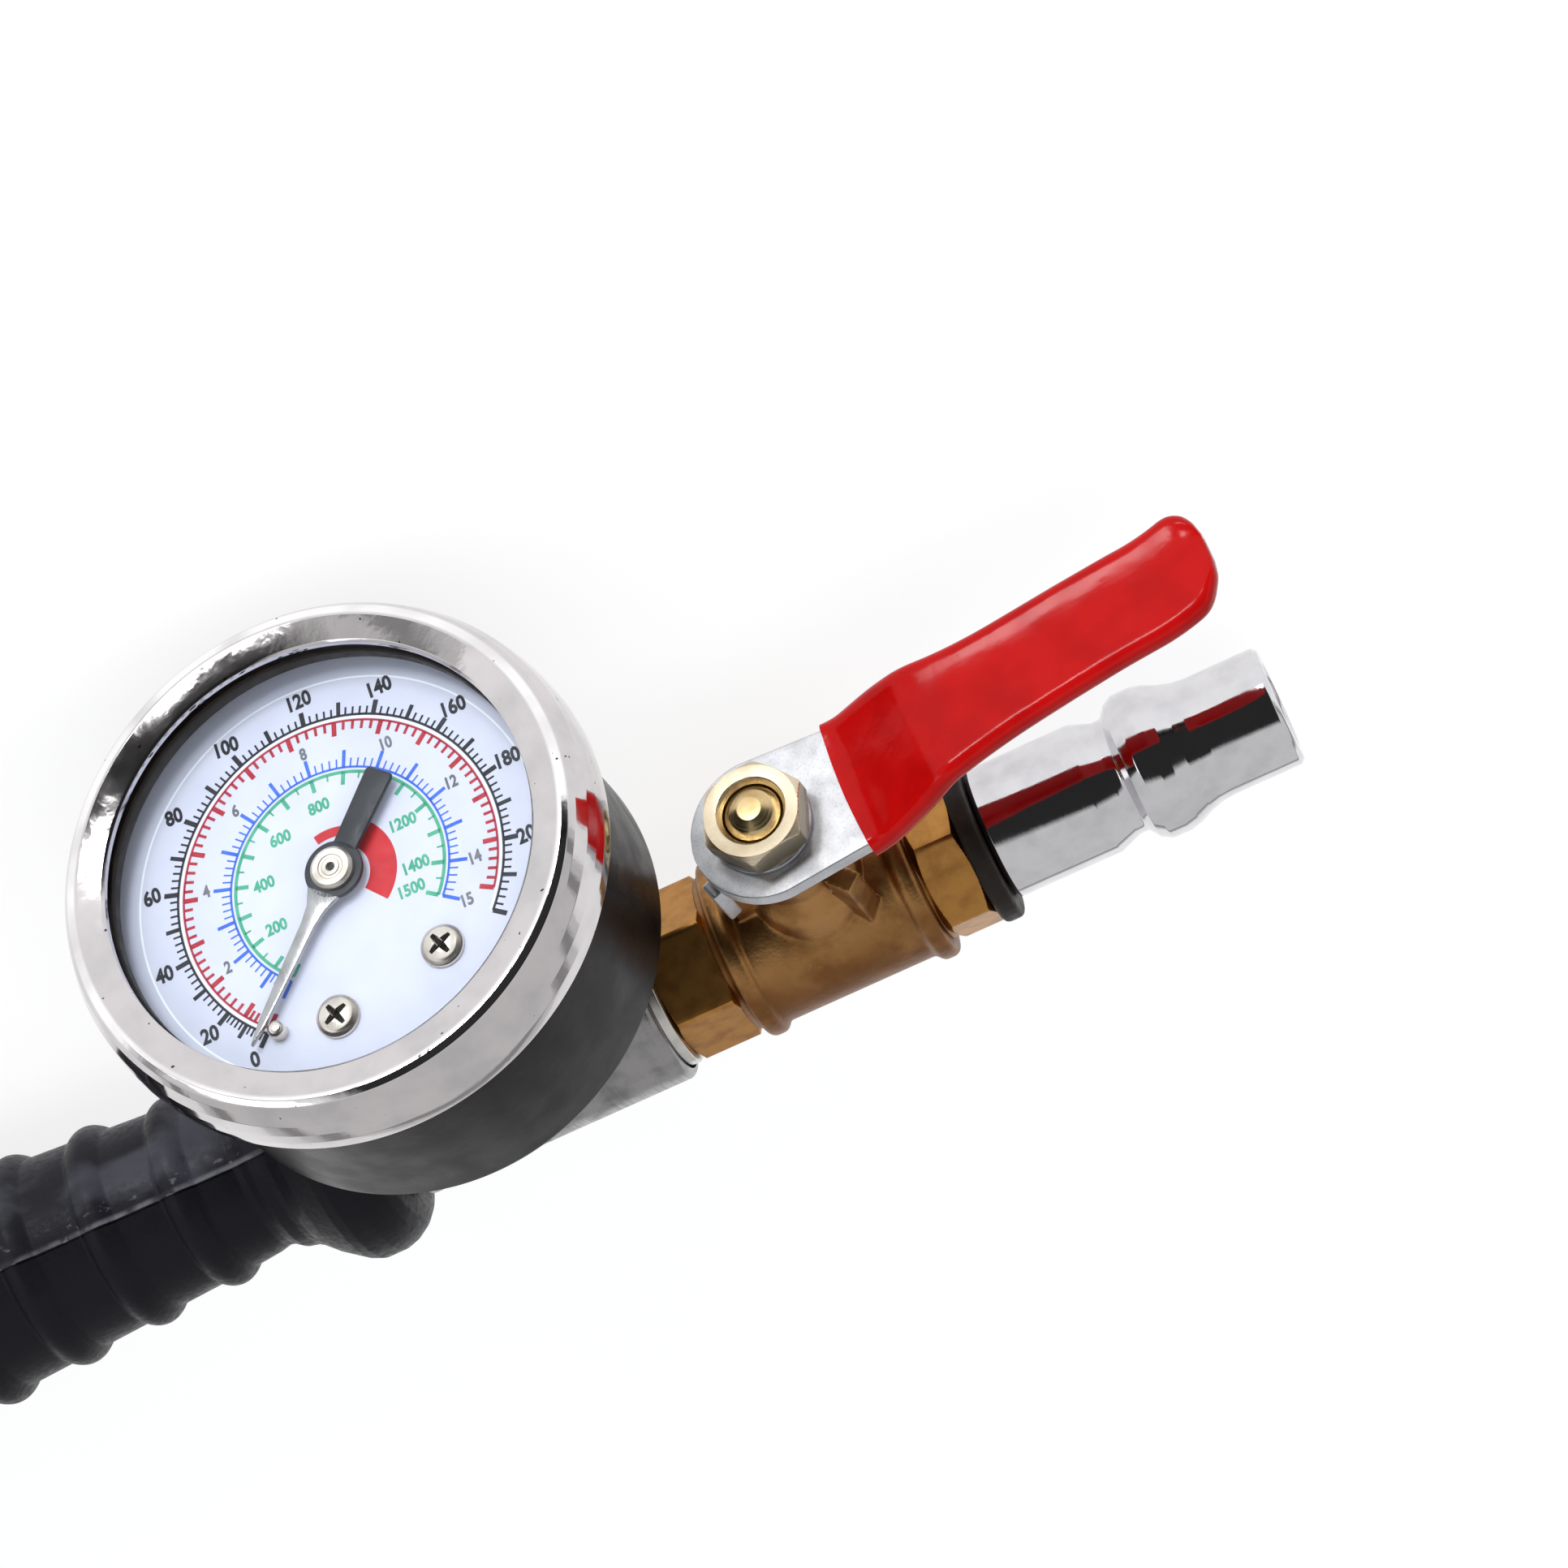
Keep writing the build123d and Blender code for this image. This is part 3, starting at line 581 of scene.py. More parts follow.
def thread(radius, height, angle):
    """The inlet's thread, a real helix at 18 turns an inch."""
    depth = (height - INLET_END) / THREAD_PITCH - angle / (2 * math.pi)
    if radius > 6.2 or height > -113.6 or height < -123.7:
        return radius
    return radius + THREAD_DEPTH * abs(2 * (depth % 1.0) - 1.0)


def build_pipe():
    bore = [(5.7, -123.75 + 0.1 * step, 0) for step in range(103)]
    outline = [(3.5, -5.0), (3.5, -113.0), (5.7, -113.0), *reversed(bore), (6.5, INLET_END),
               (9.8, INLET_END, 0.6), (9.8, -112.3, 0.4), (7.0, -112.3), (7.0, -16.0),
               (THREAD_R, -16.0), (THREAD_R, -5.0)]
    turned("core_pipe", PIPE, outline, NICKEL, node="core_tube", shape=thread,
           segments=128, crease=40)
    nipple = [(BORE_R, 5.0), (THREAD_R, 5.0), (THREAD_R, 14.5), (9.2, 14.5), (9.2, 17.1),
              (THREAD_R, 17.1), (THREAD_R, 24.4), (BORE_R, 24.4)]
    turned("nipple", PIPE, nipple, NICKEL, node="valve_nipple", size=0.35)
    turned("sealing_washer", PIPE, [(6.0, 52.4), (9.1, 52.4), (9.1, 54.6), (6.0, 54.6)],
           SEAL, node="sealing_ring", size=0.7)
    plug = [(2.6, 46.0), (6.0, 46.0), (6.0, 54.7), (6.7, 54.7), (7.2, 55.2), (7.2, 66.5, 0.8),
            (6.3, 69.0, 0.8), (6.3, 70.0, 0.6), (7.5, 70.9, 0.4), (8.1, 72.0, 0.5),
            (8.1, 74.0, 0.8), (7.8, 75.3, 1.0), (7.1, 76.9, 1.2), (6.7, 78.3, 1.2),
            (6.57, 79.5, 1.0), (6.57, 87.2, 0.3), (6.07, 87.7, 0.2), (4.7, 87.7, 0.2),
            (4.4, 87.4, 0.1), (4.4, 78.0), (2.6, 77.0)]
    turned("plug", PIPE, plug, CHROME, node="air_plug", segments=192)


def build_tee():
    body = spin(rounded([(0, -16.0), (9.4, -16.0), (10.4, -15.0), (10.4, 15.5), (9.9, 16.0),
                         (0, 16.0)]), 128)
    boss = spin(rounded([(0, 0), (8.5, 0, 0), (8.5, 17.0), (7.5, 18.0), (0, 18.0)]), 128)
    turn = PIPE.inverted() @ GAUGE
    piece = mesh_object("tee", joined(body, placed(boss, turn)), PIPE)
    fused(piece, 0.24, 4)
    across = spin([(0, -16.5), (THREAD_R, -16.5), (THREAD_R, -5.0), (BORE_R, -5.0),
                   (BORE_R, 5.0), (THREAD_R, 5.0), (THREAD_R, 14.5), (9.5, 14.5), (9.5, 16.5),
                   (0, 16.5)], 96)
    side = spin([(0, 1.0), (1.5, 1.0), (1.5, 7.0), (5.0, 7.0), (5.0, 19.0), (0, 19.0)], 96)
    cut(piece, mesh_object("across", across, PIPE), mesh_object("side", side, GAUGE))
    finish(piece, TEE, node="tee_block", crease=40)


# Ball valve

def block(width, depth, height, place):
    """A plain box about its own centre, moved to its place."""
    outline = [(-width / 2, -depth / 2), (width / 2, -depth / 2), (width / 2, depth / 2),
               (-width / 2, depth / 2)]
    return placed(prism(outline, -height / 2, height / 2), place)


def lug(angle):
    """A stop for the lever's tab, cast on the body beside the stem."""
    turn = math.radians(angle)
    spot = Matrix.Translation((6.7 * math.cos(turn), 6.7 * math.sin(turn), 10.6))
    return block(3.0, 2.4, 9.2, spot @ Matrix.Rotation(turn, 4, "Z"))


def build_valve():
    hexagon = [(6.62, 17.1, 0.1), *bevelled(BODY_HEX, 17.1, 24.4, 0.55), (6.62, 24.4, 0)]
    turned("valve_hex", PIPE, hexagon, CAST, node="valve_body",
           segments=240, shape=hexed(BODY_HEX, 28, 17, 24.5), crease=20)
    barrel = [(0, 24.0), (8.3, 24.0), (9.0, 24.9, 0.6), (9.7, 25.1), (10.0, 25.5, 0.4),
              (10.0, 26.6, 0.4), (9.7, 27.0), (9.15, 27.3, 1.0), (9.15, 44.4, 1.0),
              (9.7, 44.8), (10.0, 45.2, 0.4), (10.0, 46.3, 0.4), (9.7, 46.8), (0, 46.8)]
    collar = [(0, 6), (6.6, 6), (6.0, 10.2, 1.5), (5.1, 11.6, 1.2), (4.6, 12.6), (4.6, 19.7, 0.5),
              (3.9, 20.3, 0.3), (0, 20.3)]
    turn = PIPE.inverted() @ STEM
    shapes = [spin(rounded(barrel, 0.5), 128)]
    for shape in (spin(rounded(collar), 96), lug(312), lug(184)):
        shapes.append(placed(shape, turn))
    cast = mesh_object("valve_cast", joined(*shapes), PIPE)
    fused(cast, 0.22, 4)
    inside = spin([(0, 23.0), (3.0, 23.0), (3.0, 29.0), (7.4, 29.0), (7.4, 48.0), (0, 48.0)], 96)
    neck_bore = spin([(0, 2.0), (3.9, 2.0), (3.9, 8.0), (3.25, 8.0), (3.25, 22.0), (0, 22.0)], 96)
    cut(cast, mesh_object("inside", inside, PIPE), mesh_object("bore", neck_bore, STEM))
    finish(cast, CAST, node="valve_body", crease=40)
    nut = [(6.0, 47.2, 0), (7.4, 47.2, 0), (7.4, 46.8, 0), (8.4, 46.8, 0.1),
           *bevelled(BODY_HEX, 47.2, 52.4, 0.55), (6.0, 52.4, 0.2)]
    turned("valve_tail_hex", PIPE, nut, CAST, node="valve_end",
           segments=240, shape=hexed(BODY_HEX, 46, 47.1, 52.5), crease=20)


def bend(points, radius, step=0.35):
    """Close points along a line whose corners are arcs."""
    out = [Vector(points[0])]
    for before, here, after in zip(points, points[1:], points[2:]):
        here = Vector(here)
        back = (Vector(before) - here).normalized()
        ahead = (Vector(after) - here).normalized()
        turn = back.angle(ahead)
        reach = radius / math.tan(turn / 2)
        start, end = here + back * reach, here + ahead * reach
        middle = here + (back + ahead).normalized() * (radius / math.sin(turn / 2))
        first, last = start - middle, end - middle
        angle = first.angle_signed(last)
        count = max(2, int(abs(angle) * radius / step))
        out += [middle + Matrix.Rotation(-angle * index / count, 2) @ first
                for index in range(count + 1)]
    out.append(Vector(points[-1]))
    fine = [out[0]]
    for spot in out[1:]:
        start = fine[-1]
        count = max(1, int((spot - start).length / step))
        fine += [start.lerp(spot, (index + 1) / count) for index in range(count)]
    return fine


LEVER_TIP, TIP_CORNER, HEEL_R = 51.7, 3.6, 7.8
PLATE_LOW, PLATE_HALF = 20.9, 0.9
LEVER_LEAN = Matrix.Rotation(math.radians(1.75), 4, "Z")
# Distances from the stem, and half the plate's width there
SIDES = [(0, 7.8), (9, 7.1), (14, 6.9), (17, 6.7), (20, 6.1), (24, 5.4), (28, 4.9), (34, 4.45),
         (40, 4.1), (48.4, 4.0), (60, 4.0)]


def side_line(x):
    """The straight stretches between the points of SIDES."""
    for (a, p), (b, q) in zip(SIDES, SIDES[1:]):
        if x <= b:
            return p + (q - p) * (x - a) / (b - a)
    return SIDES[-1][1]


def half_width(x, grow):
    """Half the lever's width at a distance from the stem."""
    if x < 0:
        return math.sqrt(max((HEEL_R + grow) ** 2 - x ** 2, 0.0))
    half = sum(side_line(max(x + shift, 0)) for shift in (-1.6, -0.8, 0, 0.8, 1.6)) / 5 + grow
    if x < 4:
        half = half * x / 4 + (side_line(x) + grow) * (1 - x / 4)
    corner = LEVER_TIP + grow - TIP_CORNER
    if x > corner:
        half -= TIP_CORNER - math.sqrt(max(TIP_CORNER ** 2 - (x - corner) ** 2, 0.0))
    return half


def drift(x, grow):
    """How far the nose turns to one side, and how far the dip swells toward it."""
    nose = min(max((x - 44.0) / 7.5, 0.0), 1.0)
    swell = min(max((x - 18.0) / 26.0, 0.0), 1.0)
    return 1.3 * nose * nose, 0.95 * swell * swell * (3 - 2 * swell) if grow > 0.5 else 0.0


def section(half, thick, corner, dish, count=8):
    """A rounded oblong, listed round its edge; the top rises toward one edge."""
    corner = min(corner, half * 0.95, thick * 0.49)
    out = []
    for side, (cx, cy) in enumerate(((1, 1), (-1, 1), (-1, -1), (1, -1))):
        for index in range(count + 1):
            turn = math.pi / 2 * (side + index / count)
            y = cx * (half - corner) + corner * math.cos(turn)
            n = cy * (thick / 2 - corner) + corner * math.sin(turn)
            if side == 1:
                n -= dish * math.sin(turn)
            out.append((y, n))
        if side in (0, 2):
            ahead = -1 if side == 0 else 1
            for index in range(1, 20):
                y = ahead * (half - corner) * (2 * index / 20 - 1)
                deep = dish * (1 - max(0.0, y / (half - corner)) ** 3) if side == 0 else 0
                out.append((y, cy * thick / 2 - deep))
    return out


def strip(grow, thick, start, end, corner, dish=0.0, bow=0.0):
    """The cranked lever strip between two distances from the stem."""
    middle = PLATE_LOW + PLATE_HALF
    path = bend([(-13.0, middle), (10.8, middle), (19.4, middle + 5.05),
                 (57.0, middle + 8.81)], 6.0)
    close = [start + (end - start) * (1 - math.cos(math.pi * i / 16)) / 2 for i in range(17)]
    stations = sorted({start, end, *(p.x for p in path if start < p.x < end),
                       *(x for x in close if x - start < 2.5 or end - x < 2.5)})
    verts, faces, rings = [], [], []

    def on_path(x):
        for a, b in zip(path, path[1:]):
            if a.x <= x <= b.x:
                t = (x - a.x) / max(b.x - a.x, 1e-9)
                along = (b - a).normalized()
                return a.lerp(b, t), Vector((-along.y, along.x))
        return path[-1], Vector((0, 1))

    for x in stations:
        half = max(half_width(x, grow), 0.12)
        nose, swell = drift(x, grow)
        half += swell * min(1.0, half / 4.5)
        ring = []
        deep = thick
        # The dipped sleeve is rounded off at its hand end
        if grow > 0.5:
            deep *= 0.45 + 0.55 * math.sqrt(1 - max(0.0, 1 - (end - x) / 3.0) ** 2)
        for y, n in section(half, deep, corner, dish * min(1.0, half / 4.0)):
            fade = max(0.0, 1 - (x - start) / 9.0)
            at, normal = on_path(x + bow * fade * (y / half) ** 2)
            spot = at + normal * n
            ring.append(len(verts))
            verts.append((spot.x, y + nose + swell, spot.y))
        rings.append(ring)
    for ring, after in zip(rings, rings[1:]):
        for index in range(len(ring)):
            other = (index + 1) % len(ring)
            faces.append([ring[index], ring[other], after[other], after[index]])
    faces.append(rings[0][::-1])
    faces.append(rings[-1])
    return verts, faces


def build_lever():
    leaning = STEM @ LEVER_LEAN
    plate = mesh_object("lever_strip", strip(0.0, 1.8, -7.79, 51.69, 0.25), leaning)
    hole = spin([(0, 18), (3.02, 18), (3.02, 25), (0, 25)], 64)
    cut(plate, mesh_object("hole", hole, STEM))
    finish(plate, ZINC, "lever", "lever_plate", 35)
    turn = math.radians(203)
    spot = Matrix.Translation((7.9 * math.cos(turn), 7.9 * math.sin(turn), 18.0))
    tab = block(1.6, 2.2, 6.0, spot @ Matrix.Rotation(turn, 4, "Z"))
    tab = mesh_object("lever_tab", tab, STEM)
    softened(tab, 0.3)
    finish(tab, ZINC, "lever", "lever_plate", 35)
    sleeve = mesh_object("lever_dip", strip(0.7, 3.2, 8.8, 52.38, 1.3, 0.28, 0.5), leaning)
    cut(sleeve, mesh_object("core", strip(0.02, 1.84, 4.0, 51.70, 0.25), leaning))
    finish(sleeve, VINYL, "lever", "lever_sleeve", 50)
    turned("lever_flat_washer", STEM, [(3.05, 22.7), (5.3, 22.7), (5.3, 23.4), (3.05, 23.4)],
           ZINC, "lever", "lever_washer", 0.2)
    nut = [(3.0, 23.7, 0), (3.45, 23.4, 0), *bevelled(NUT_HEX, 23.4, 27.0, 0.8),
           (3.65, 27.0, 0.15), (3.2, 26.3, 0), (3.0, 25.2, 0)]
    turned("lever_hex_nut", STEM, nut, YELLOW, "lever", "lever_nut",
           segments=240, shape=hexed(NUT_HEX, 12, 23.3, 27.1), crease=20)
    stem = [(0, 5.2), (3.5, 5.2), (3.8, 6.4), (3.8, 7.7), (3.2, 7.7), (3.2, 12.0), (2.3, 12.0),
            (2.3, 13.8), (3.2, 13.8), (3.2, 20.9), (2.98, 20.9), (2.98, 26.2, 0.3),
            (2.35, 26.9, 0.6), (1.7, 27.3, 0.5), (1.3, 27.55, 0.4), (0, 27.6)]
    turned("lever_stem", STEM, stem, STEM_BRASS, "lever", "valve_stem", 0.2,
           segments=96)


# Gauge

def build_case():
    turned("case_cup", GAUGE, [(6.0, 26.1), (23.5, 26.1, 0), (24.8, 26.6, 1.2), (25.3, 27.9, 0),
                               (25.3, 50.0), (26.6, 51.2), (26.6, 53.5), (25.8, 53.5),
                               (25.8, 51.6), (24.5, 50.4), (24.5, 28.1), (23.3, 26.9),
                               (6.0, 26.9)], CASE, node="case",
           size=0.3, segments=224)
    turned("bezel_ring", GAUGE, [(26.7, 48.8), (27.5, 48.8, 0.25), (27.5, 50.6, 1.0),
                                 (27.35, 52.2, 0.9), (27.05, 54.0, 0.9), (26.4, 55.6, 0.5),
                                 (25.9, 56.3, 0.35), (25.3, 56.6, 0.3), (24.7, 56.6, 0.3),
                                 (22.35, 56.05, 0.15), (22.07, 55.85, 0.1), (22.07, 55.2, 0.05),
                                 (25.4, 55.2, 0), (25.4, 54.3, 0), (26.0, 53.9, 0),
                                 (26.7, 53.5, 0)],
           BEZEL, node="bezel", segments=256, crease=60)
    turned("window_pane", GAUGE, [(0, 53.9), (25.3, 53.9), (25.3, 55.2), (0, 55.2)], GLASS,
           node="window", size=0.2, segments=160)
    turned("window_seal", GAUGE, [(21.96, 52.4), (25.7, 52.4), (25.7, 53.9), (21.96, 53.9)],
           SEAL, node="window_gasket", size=0.2, segments=192)
    plate = mesh_object("dial_plate", spin(rounded([(1.6, 49.3), (24.3, 49.3), (24.3, 49.9),
                                                    (1.6, 49.9)], 0.1), 192), GAUGE)
    finish(plate, DIAL, node="dial")


def clock(radius, angle):
    """A point on the dial: the angle runs clockwise from the gauge's own twelve o'clock."""
    turn = math.radians(angle)
    return (radius * math.sin(turn), radius * math.cos(turn))


# The printed face's height, the angle where every scale starts, and the angle of 15 and of one
# unit on the red scale and on the inner scales
FACE = 49.9
START = -137.5
RED_LAST, RED_UNIT = 120.3, 17.65
INNER_LAST, INNER_UNIT = 126.6, 18.0


def tick(inner, outer, angle, width):
    """A printed stroke that points to the centre."""
    (x, y), (u, v) = clock(inner, angle), clock(outer, angle)
    along = Vector((u - x, v - y)).normalized() * width / 2
    side = Vector((-along.y, along.x))
    points = [(x + side.x, y + side.y), (x - side.x, y - side.y), (u - side.x, v - side.y),
              (u + side.x, v + side.y)]
    return prism(points, FACE, FACE + 0.03)


def band(inner, outer, start, end, high=0.03, step=1.5):
    """A printed arc as a closed ring segment."""
    count = max(2, int(abs(end - start) / step))
    angles = [start + (end - start) * index / count for index in range(count + 1)]
    verts, faces = [], []
    for angle in angles:
        (x, y), (u, v) = clock(inner, angle), clock(outer, angle)
        verts += [(x, y, FACE), (u, v, FACE), (u, v, FACE + high), (x, y, FACE + high)]
    for index in range(count):
        base = 4 * index
        for corner in range(4):
            other = (corner + 1) % 4
            faces.append([base + corner, base + other, base + 4 + other, base + 4 + corner])
    if end - start < 359.9:
        faces += [[0, 1, 2, 3], [4 * count + 3, 4 * count + 2, 4 * count + 1, 4 * count]]
    return verts, faces


def psi_line(value):
    """The dial's angle at a reading; the first stretch of the scale is squeezed."""
    if value < 20:
        return START + value * 0.835
    return -120.8 + (value - 20) * 1.2445


def inner_line(value, last, step):
    """The same for the other scales, from the angle of 15 and the angle of one unit."""
    if value < 1:
        return START + value * (last - 14 * step - START)
    return last - (15 - value) * step


def numeral(text, angle, radius, size, squeeze=1.0):
    """A number as thin solid figures, all of them upright on the dial."""
    curve = bpy.data.curves.new("numeral", "FONT")
    curve.body = text
    curve.size = size
    curve.align_x = "CENTER"
    curve.align_y = "CENTER"
    curve.extrude = 0.015
    curve.resolution_u = 3
    curve.offset = 0.035 * size
    holder = added("numeral", curve)
    graph = bpy.context.evaluated_depsgraph_get()
    mesh = bpy.data.meshes.new_from_object(holder.evaluated_get(graph))
    x, y = clock(radius, angle)
    place = Matrix.Translation((x, y, FACE + 0.016)) @ Matrix.Diagonal((squeeze, 1, 1, 1))
    solid = bmesh.new()
    solid.from_mesh(mesh)
    bmesh.ops.remove_doubles(solid, verts=solid.verts, dist=0.002)
    verts = [tuple(place @ vert.co) for vert in solid.verts]
    faces = [[vert.index for vert in face.verts] for face in solid.faces]
    solid.free()
    bpy.data.objects.remove(holder)
    bpy.data.meshes.remove(mesh)
    return verts, faces


def printed(name, ink, shapes):
    finish(mesh_object(name, joined(*shapes), GAUGE), INK[ink])


def build_marks():
    black = [band(16.88, 17.12, psi_line(0), psi_line(220))]
    for value in range(0, 222, 2):
        length = 1.5 if value % 10 == 0 else 0.85
        wide = 0.5 if value % 20 == 0 else 0.42 if value % 10 == 0 else 0.2
        black.append(tick(17.0, 17.0 + length, psi_line(value), wide))
    for value in range(0, 201, 20):
        black.append(numeral(str(value), psi_line(value), 19.8, 2.25, squeeze=0.82))
    printed("marks_black", "black", black)
    red = [band(16.28, 16.5, START, RED_LAST)]
    blue = [band(11.28, 11.5, START, INNER_LAST)]
    for index in range(76):
        major = index % 5 == 0
        angle = inner_line(index / 5, RED_LAST, RED_UNIT)
        red.append(tick(16.4 - (1.5 if major else 0.95), 16.4, angle, 0.5 if major else 0.3))
        angle = inner_line(index / 5, INNER_LAST, INNER_UNIT)
        blue.append(tick(11.4, 11.4 + (1.85 if major else 0.95), angle, 0.36 if major else 0.15))
    printed("marks_red", "red", red)
    printed("marks_blue", "blue", blue)
    green = [band(10.72, 11.06, START, INNER_LAST)]
    for index in range(31):
        major = index % 2 == 0
        angle = inner_line(index / 2, INNER_LAST, INNER_UNIT)
        green.append(tick(10.9 - (1.35 if major else 0.7), 10.9, angle, 0.42 if major else 0.18))
    grey = []
    for value in (2, 4, 6, 8, 10, 12, 14, 15):
        angle = inner_line(value, INNER_LAST, INNER_UNIT)
        green.append(numeral(str(value * 100), angle, 7.9, 1.75, squeeze=0.85))
        grey.append(numeral(str(value), angle, 14.0, 1.8, squeeze=0.78))
    printed("marks_green", "green", green)
    printed("marks_grey", "grey", grey)
    printed("mark_signal", "signal", [band(4.2, 5.2, -15, 30, 0.02),
                                      band(3.2, 6.0, 30, 140, 0.02)])
    # The outer white ring, near the dial's edge, is a painted highlight
    printed("highlight_and_mark_rings", "white", [band(20.95, 21.15, 0, 360, 0.02),
                                    band(16.6, 16.8, -137, 128, 0.02)])


def build_screws():
    for index, (x, y) in enumerate(((7.64, -11.84), (-4.23, -14.13))):
        place = GAUGE @ Matrix.Translation((x, y, FACE))
        head = mesh_object(f"dial_screw_{index + 1}",
                           spin(rounded([(0, -4.4), (0.9, -4.4), (0.9, 0.0, 0), (2.2, 0.0, 0.1),
                                         (2.2, 0.45, 0.3), (1.75, 0.85, 0.6), (0.8, 1.05, 1.0),
                                         (0, 1.1)], 0.1), 96), place)
        wing = [(-1.3, -0.2), (-0.5, -0.34), (0.5, -0.34), (1.3, -0.2), (1.3, 0.2),
                (0.5, 0.34), (-0.5, 0.34), (-1.3, 0.2)]
        narrow = [(0.96 * along, 0.9 * across) for along, across in wing]
        for angle in (25, 115):
            twist = Matrix.Rotation(math.radians(angle), 4, "Z")
            cut(head, mesh_object("wing", placed(prism(wing, 0.35, 2.0), twist), place))
            # Painted shade: a thin dark sheet at the bottom of each arm of the cross slot
            floor = mesh_object(f"screw_slot_shade_{index + 1}_{angle}",
                                placed(prism(narrow, 0.3, 0.39), twist), place)
            finish(floor, SEAL, node="dial_screws")
        finish(head, STEEL, node="dial_screws", crease=35)
    turn = math.radians(232)
    place = GAUGE @ Matrix.Translation((16.6 * math.cos(turn), 16.6 * math.sin(turn), 0))
    turned("zero_pin", place, [(0, 49.3), (0.5, 49.3), (0.5, 49.9), (0.85, 49.9, 0.1),
                               (0.85, 51.2, 0.3), (0.6, 51.5, 0.3), (0, 51.65)], STEEL,
           node="stop_pin", segments=64)


def build_pointer():
    place = GAUGE @ Matrix.Rotation(math.radians(227), 4, "Z")
    arm = [(18.9, 0.07), (16.5, 0.42), (12.0, 0.6), (6.0, 0.75), (4.2, 1.0), (2.4, 1.8)]
    arm = arm + [(x, -y) for x, y in reversed(arm)]
    needle = mesh_object("pointer_needle", prism(arm, 51.0, 51.5), place)
    ring = [(1.02, 51.0), (3.0, 51.0), (3.0, 51.5), (1.02, 51.5)]
    tail = [(-2.4, 1.3), (-10.5, 1.5), (-10.9, 1.3)]
    tail = tail + [(x, -y) for x, y in reversed(tail)]
    back = mesh_object("pointer_tail", prism(tail, 51.0, 51.5), place)
    softened(needle, 0.13)
    softened(back, 0.13)
    disc = mesh_object("pointer_disc", spin(rounded(ring, 0.12), 96), place)
    for piece, material in ((needle, NEEDLE), (back, TAIL), (disc, TAIL)):
        finish(piece, material, "pointer", "pointer")
    cap = [(0.7, 50.3), (2.4, 50.3), (2.6, 50.5), (2.6, 51.0, 0), (1.0, 51.0, 0), (1.0, 51.5, 0),
           (2.2, 51.5, 0), (2.2, 52.0, 0.15), (1.9, 52.3, 0.15), (1.3, 52.3, 0.05),
           (1.22, 52.2, 0.05), (0.95, 52.2, 0.05), (0.87, 52.3, 0.05), (0.45, 52.3, 0.08),
           (0.4, 51.97, 0), (0, 51.94), (0, 51.9), (0.7, 51.9)]
    turned("pointer_cap", GAUGE, cap, HUB, "pointer", "pointer_hub", 0.1, 96)
    # Painted shade: a thin dark disc at the bottom of the cap's hole
    turned("pointer_hole_shade", GAUGE, [(0, 51.95), (0.38, 51.95), (0.38, 51.99), (0, 51.99)], TAIL,
           "pointer", "pointer_hub", 0.0, 48)


# Nodes that keep their own solids and only get a material
KEPT = ((BALL, "ball"), (SEAT, "ball_seats"), (SEAL, "stem_seal"),
        (BRASS, "gauge_socket", "tube_tip"), (BRONZE, "bourdon_tube", "hairspring"),
        (STEEL, "sector_arbor", "pinion_shaft", "movement_screws"),
        (MOVEMENT, "link", "link_pin", "sector_gear", "back_plate", "front_plate",
         "movement_pillars", "dial_posts", "spring_collet", "spring_stud"))


def dress_kept():
    for material, *names in KEPT:
        for name in names:
            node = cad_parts[name]
            if not node.material_slots:
                node.data.materials.append(material)
            for place in node.material_slots:
                place.link = "OBJECT"
                place.material = material


# Stage

# The photograph's camera, from a fit of the model's edges: its turn, its place in the part's
# source frame, and its focal length in the photograph's pixels
CAMERA_TURN = Vector((1.99354, 0.51987, -0.12288))
CAMERA_SPOT = Vector((106.36, -447.24, -224.20))
CAMERA_PIXELS = 5939.7


def build_camera():
    matrix = Matrix.Rotation(CAMERA_TURN.length, 4, CAMERA_TURN.normalized())
    matrix.translation = CAMERA_SPOT
    data = bpy.data.cameras.new("camera")
    data.sensor_fit = "HORIZONTAL"
    data.sensor_width = SENSOR
    data.lens = CAMERA_PIXELS * SENSOR / FRAME_PIXELS
    data.clip_start = 0.01
    data.clip_end = 20
    camera = added("camera", data)
    whole = SOURCE @ matrix
    spot = whole.to_translation()
    camera.matrix_world = Matrix.Translation(spot) @ whole.to_quaternion().to_matrix().to_4x4()
    bpy.context.scene.camera = camera
    return camera.matrix_world.to_3x3().col


def seen_white(made, plain, white, output):
    """What the camera, mirrors and glass see of a background, apart from what lights the scene."""
    rays = made.node("ShaderNodeLightPath").outputs
    seen = made.sum("MAXIMUM", rays["Is Camera Ray"], rays["Is Glossy Ray"])
    seen = made.sum("MAXIMUM", seen, rays["Is Transmission Ray"])
    made.link(made.blend(seen, plain, white), made.tree.nodes[output].inputs["Surface"])


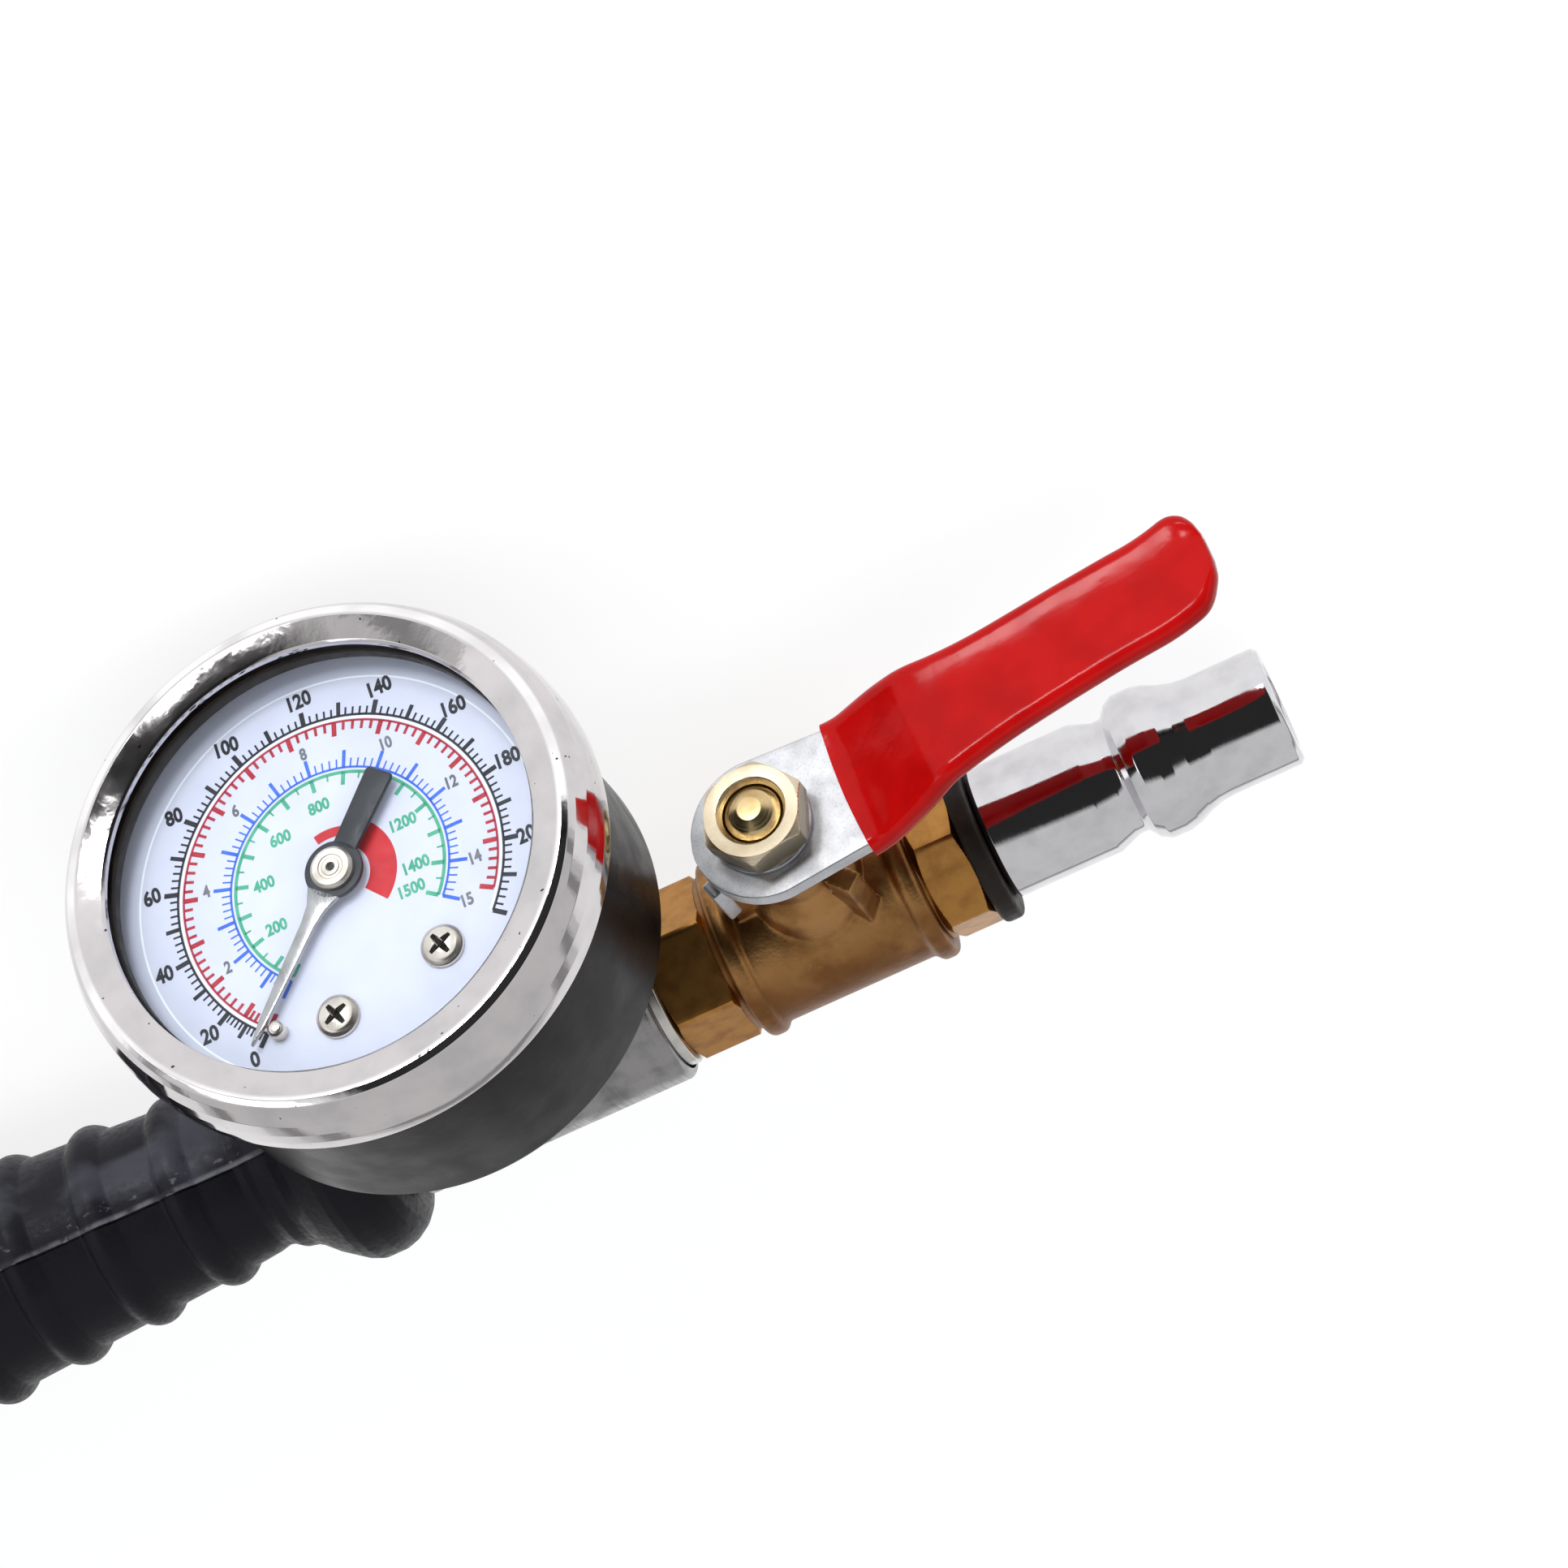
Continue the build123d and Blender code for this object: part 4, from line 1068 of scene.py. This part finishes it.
def build_floor(half=3.0):
    mesh = bpy.data.meshes.new("floor")
    corners = ((-half, -half), (half, -half), (half, half), (-half, half))
    mesh.from_pydata([(x, y, cad_box[0].z) for x, y in corners], [], [(0, 1, 2, 3)])
    ground = added("floor", mesh)
    paper = bpy.data.materials.new("pale_floor")
    paper.use_nodes = True
    made = Nodes(paper.node_tree)
    shader = made.tree.nodes["Principled BSDF"]
    shader.inputs["Base Color"].default_value = (0.93, 0.93, 0.93, 1)
    shader.inputs["Roughness"].default_value = 0.9
    shader.inputs["Specular IOR Level"].default_value = 0.1
    # White by its own light, and with enough of the lamps' light to keep the shadows
    pale = made.node("ShaderNodeBsdfDiffuse")
    pale.inputs["Color"].default_value = (0.24, 0.24, 0.24, 1)
    glow = made.node("ShaderNodeEmission")
    glow.inputs["Strength"].default_value = 0.80
    both = made.node("ShaderNodeAddShader")
    made.link(pale.outputs[0], both.inputs[0])
    made.link(glow.outputs[0], both.inputs[1])
    seen_white(made, shader.outputs[0], both.outputs[0], "Material Output")
    mesh.materials.append(paper)


def build_world(right, up, back):
    world = bpy.data.worlds.new("studio")
    bpy.context.scene.world = world
    world.use_nodes = True
    made = Nodes(world.node_tree)
    plain = made.tree.nodes["Background"]
    plain.inputs["Color"].default_value = (0.92, 0.95, 1.0, 1)
    plain.inputs["Strength"].default_value = 0.55
    # Mirrors see a pale tent with a dark gap where the photographer stands
    coords = made.node("ShaderNodeTexCoord").outputs["Generated"]
    toward = made.node("ShaderNodeVectorMath", operation="DOT_PRODUCT")
    toward.inputs[1].default_value = (back + up * 0.25 + right * 0.05).normalized()
    made.link(coords, toward.inputs[0])
    gap = made.ramp(toward.outputs["Value"], 0.72, 0.80, 0.85, 0.03, "LINEAR")
    # A dimmer band runs round the tent a little above the floor
    heights = made.node("ShaderNodeSeparateXYZ")
    made.link(coords, heights.inputs[0])
    skyline = made.times(made.ramp(heights.outputs[2], 0.04, 0.07, kind="LINEAR"),
                         made.ramp(heights.outputs[2], 0.15, 0.12, kind="LINEAR"))
    dim = made.ramp(skyline, 0.0, 1.0, 1.0, 0.45, "LINEAR")
    tent = made.node("ShaderNodeBackground")
    made.link(made.times(gap, dim), tent.inputs["Strength"])
    white = made.node("ShaderNodeBackground")
    white.inputs["Color"].default_value = (1, 1, 1, 1)
    rays = made.node("ShaderNodeLightPath").outputs
    behind = made.blend(rays["Is Camera Ray"], tent.outputs[0], white.outputs[0])
    seen_white(made, plain.outputs[0], behind, "World Output")


AIM = Vector((0.15, 0.0, 0.0))
LAMP_AWAY = 1.2


def build_lamps(right, up, back):
    rise = Vector((0, 0, 1))
    for name, toward, size, power, mirrored in (
            ("key", up * 0.5 - right * 0.3 + back * 0.85, (0.5, 0.5), 7.5, False),
            ("top", Vector((0.1, 0.25, 1.0)), (1.2, 0.8), 5.0, False),
            ("side", right * 0.9 + back * 0.5 + rise * 0.3, (0.5, 0.9), 1.4, False),
            ("left", back * 0.5 - right * 0.9 + rise * 0.2, (0.25, 0.9), 1.0, True),
            ("ridge", up * 0.47 - right * 0.52 + back * 0.70, (0.2, 0.2), 2.4, True),
            ("rim", up * 0.66 - right * 0.29 + back * 0.69, (0.14, 0.14), 1.2, True)):
        data = bpy.data.lights.new(name, "AREA")
        data.shape = "RECTANGLE"
        data.size, data.size_y = size
        data.energy = power
        made = added(name, data)
        toward = toward.normalized()
        made.location = AIM + toward * LAMP_AWAY
        made.visible_glossy = mirrored
        made.rotation_mode = "QUATERNION"
        made.rotation_quaternion = toward.to_track_quat("Z", "Y")


build_grip()
build_pipe()
build_tee()
build_valve()
build_lever()
build_case()
build_marks()
build_screws()
build_pointer()
dress_kept()
camera_axes = build_camera()
build_floor()
build_world(*camera_axes)
build_lamps(*camera_axes)
bpy.context.scene.view_settings.view_transform = "Standard"
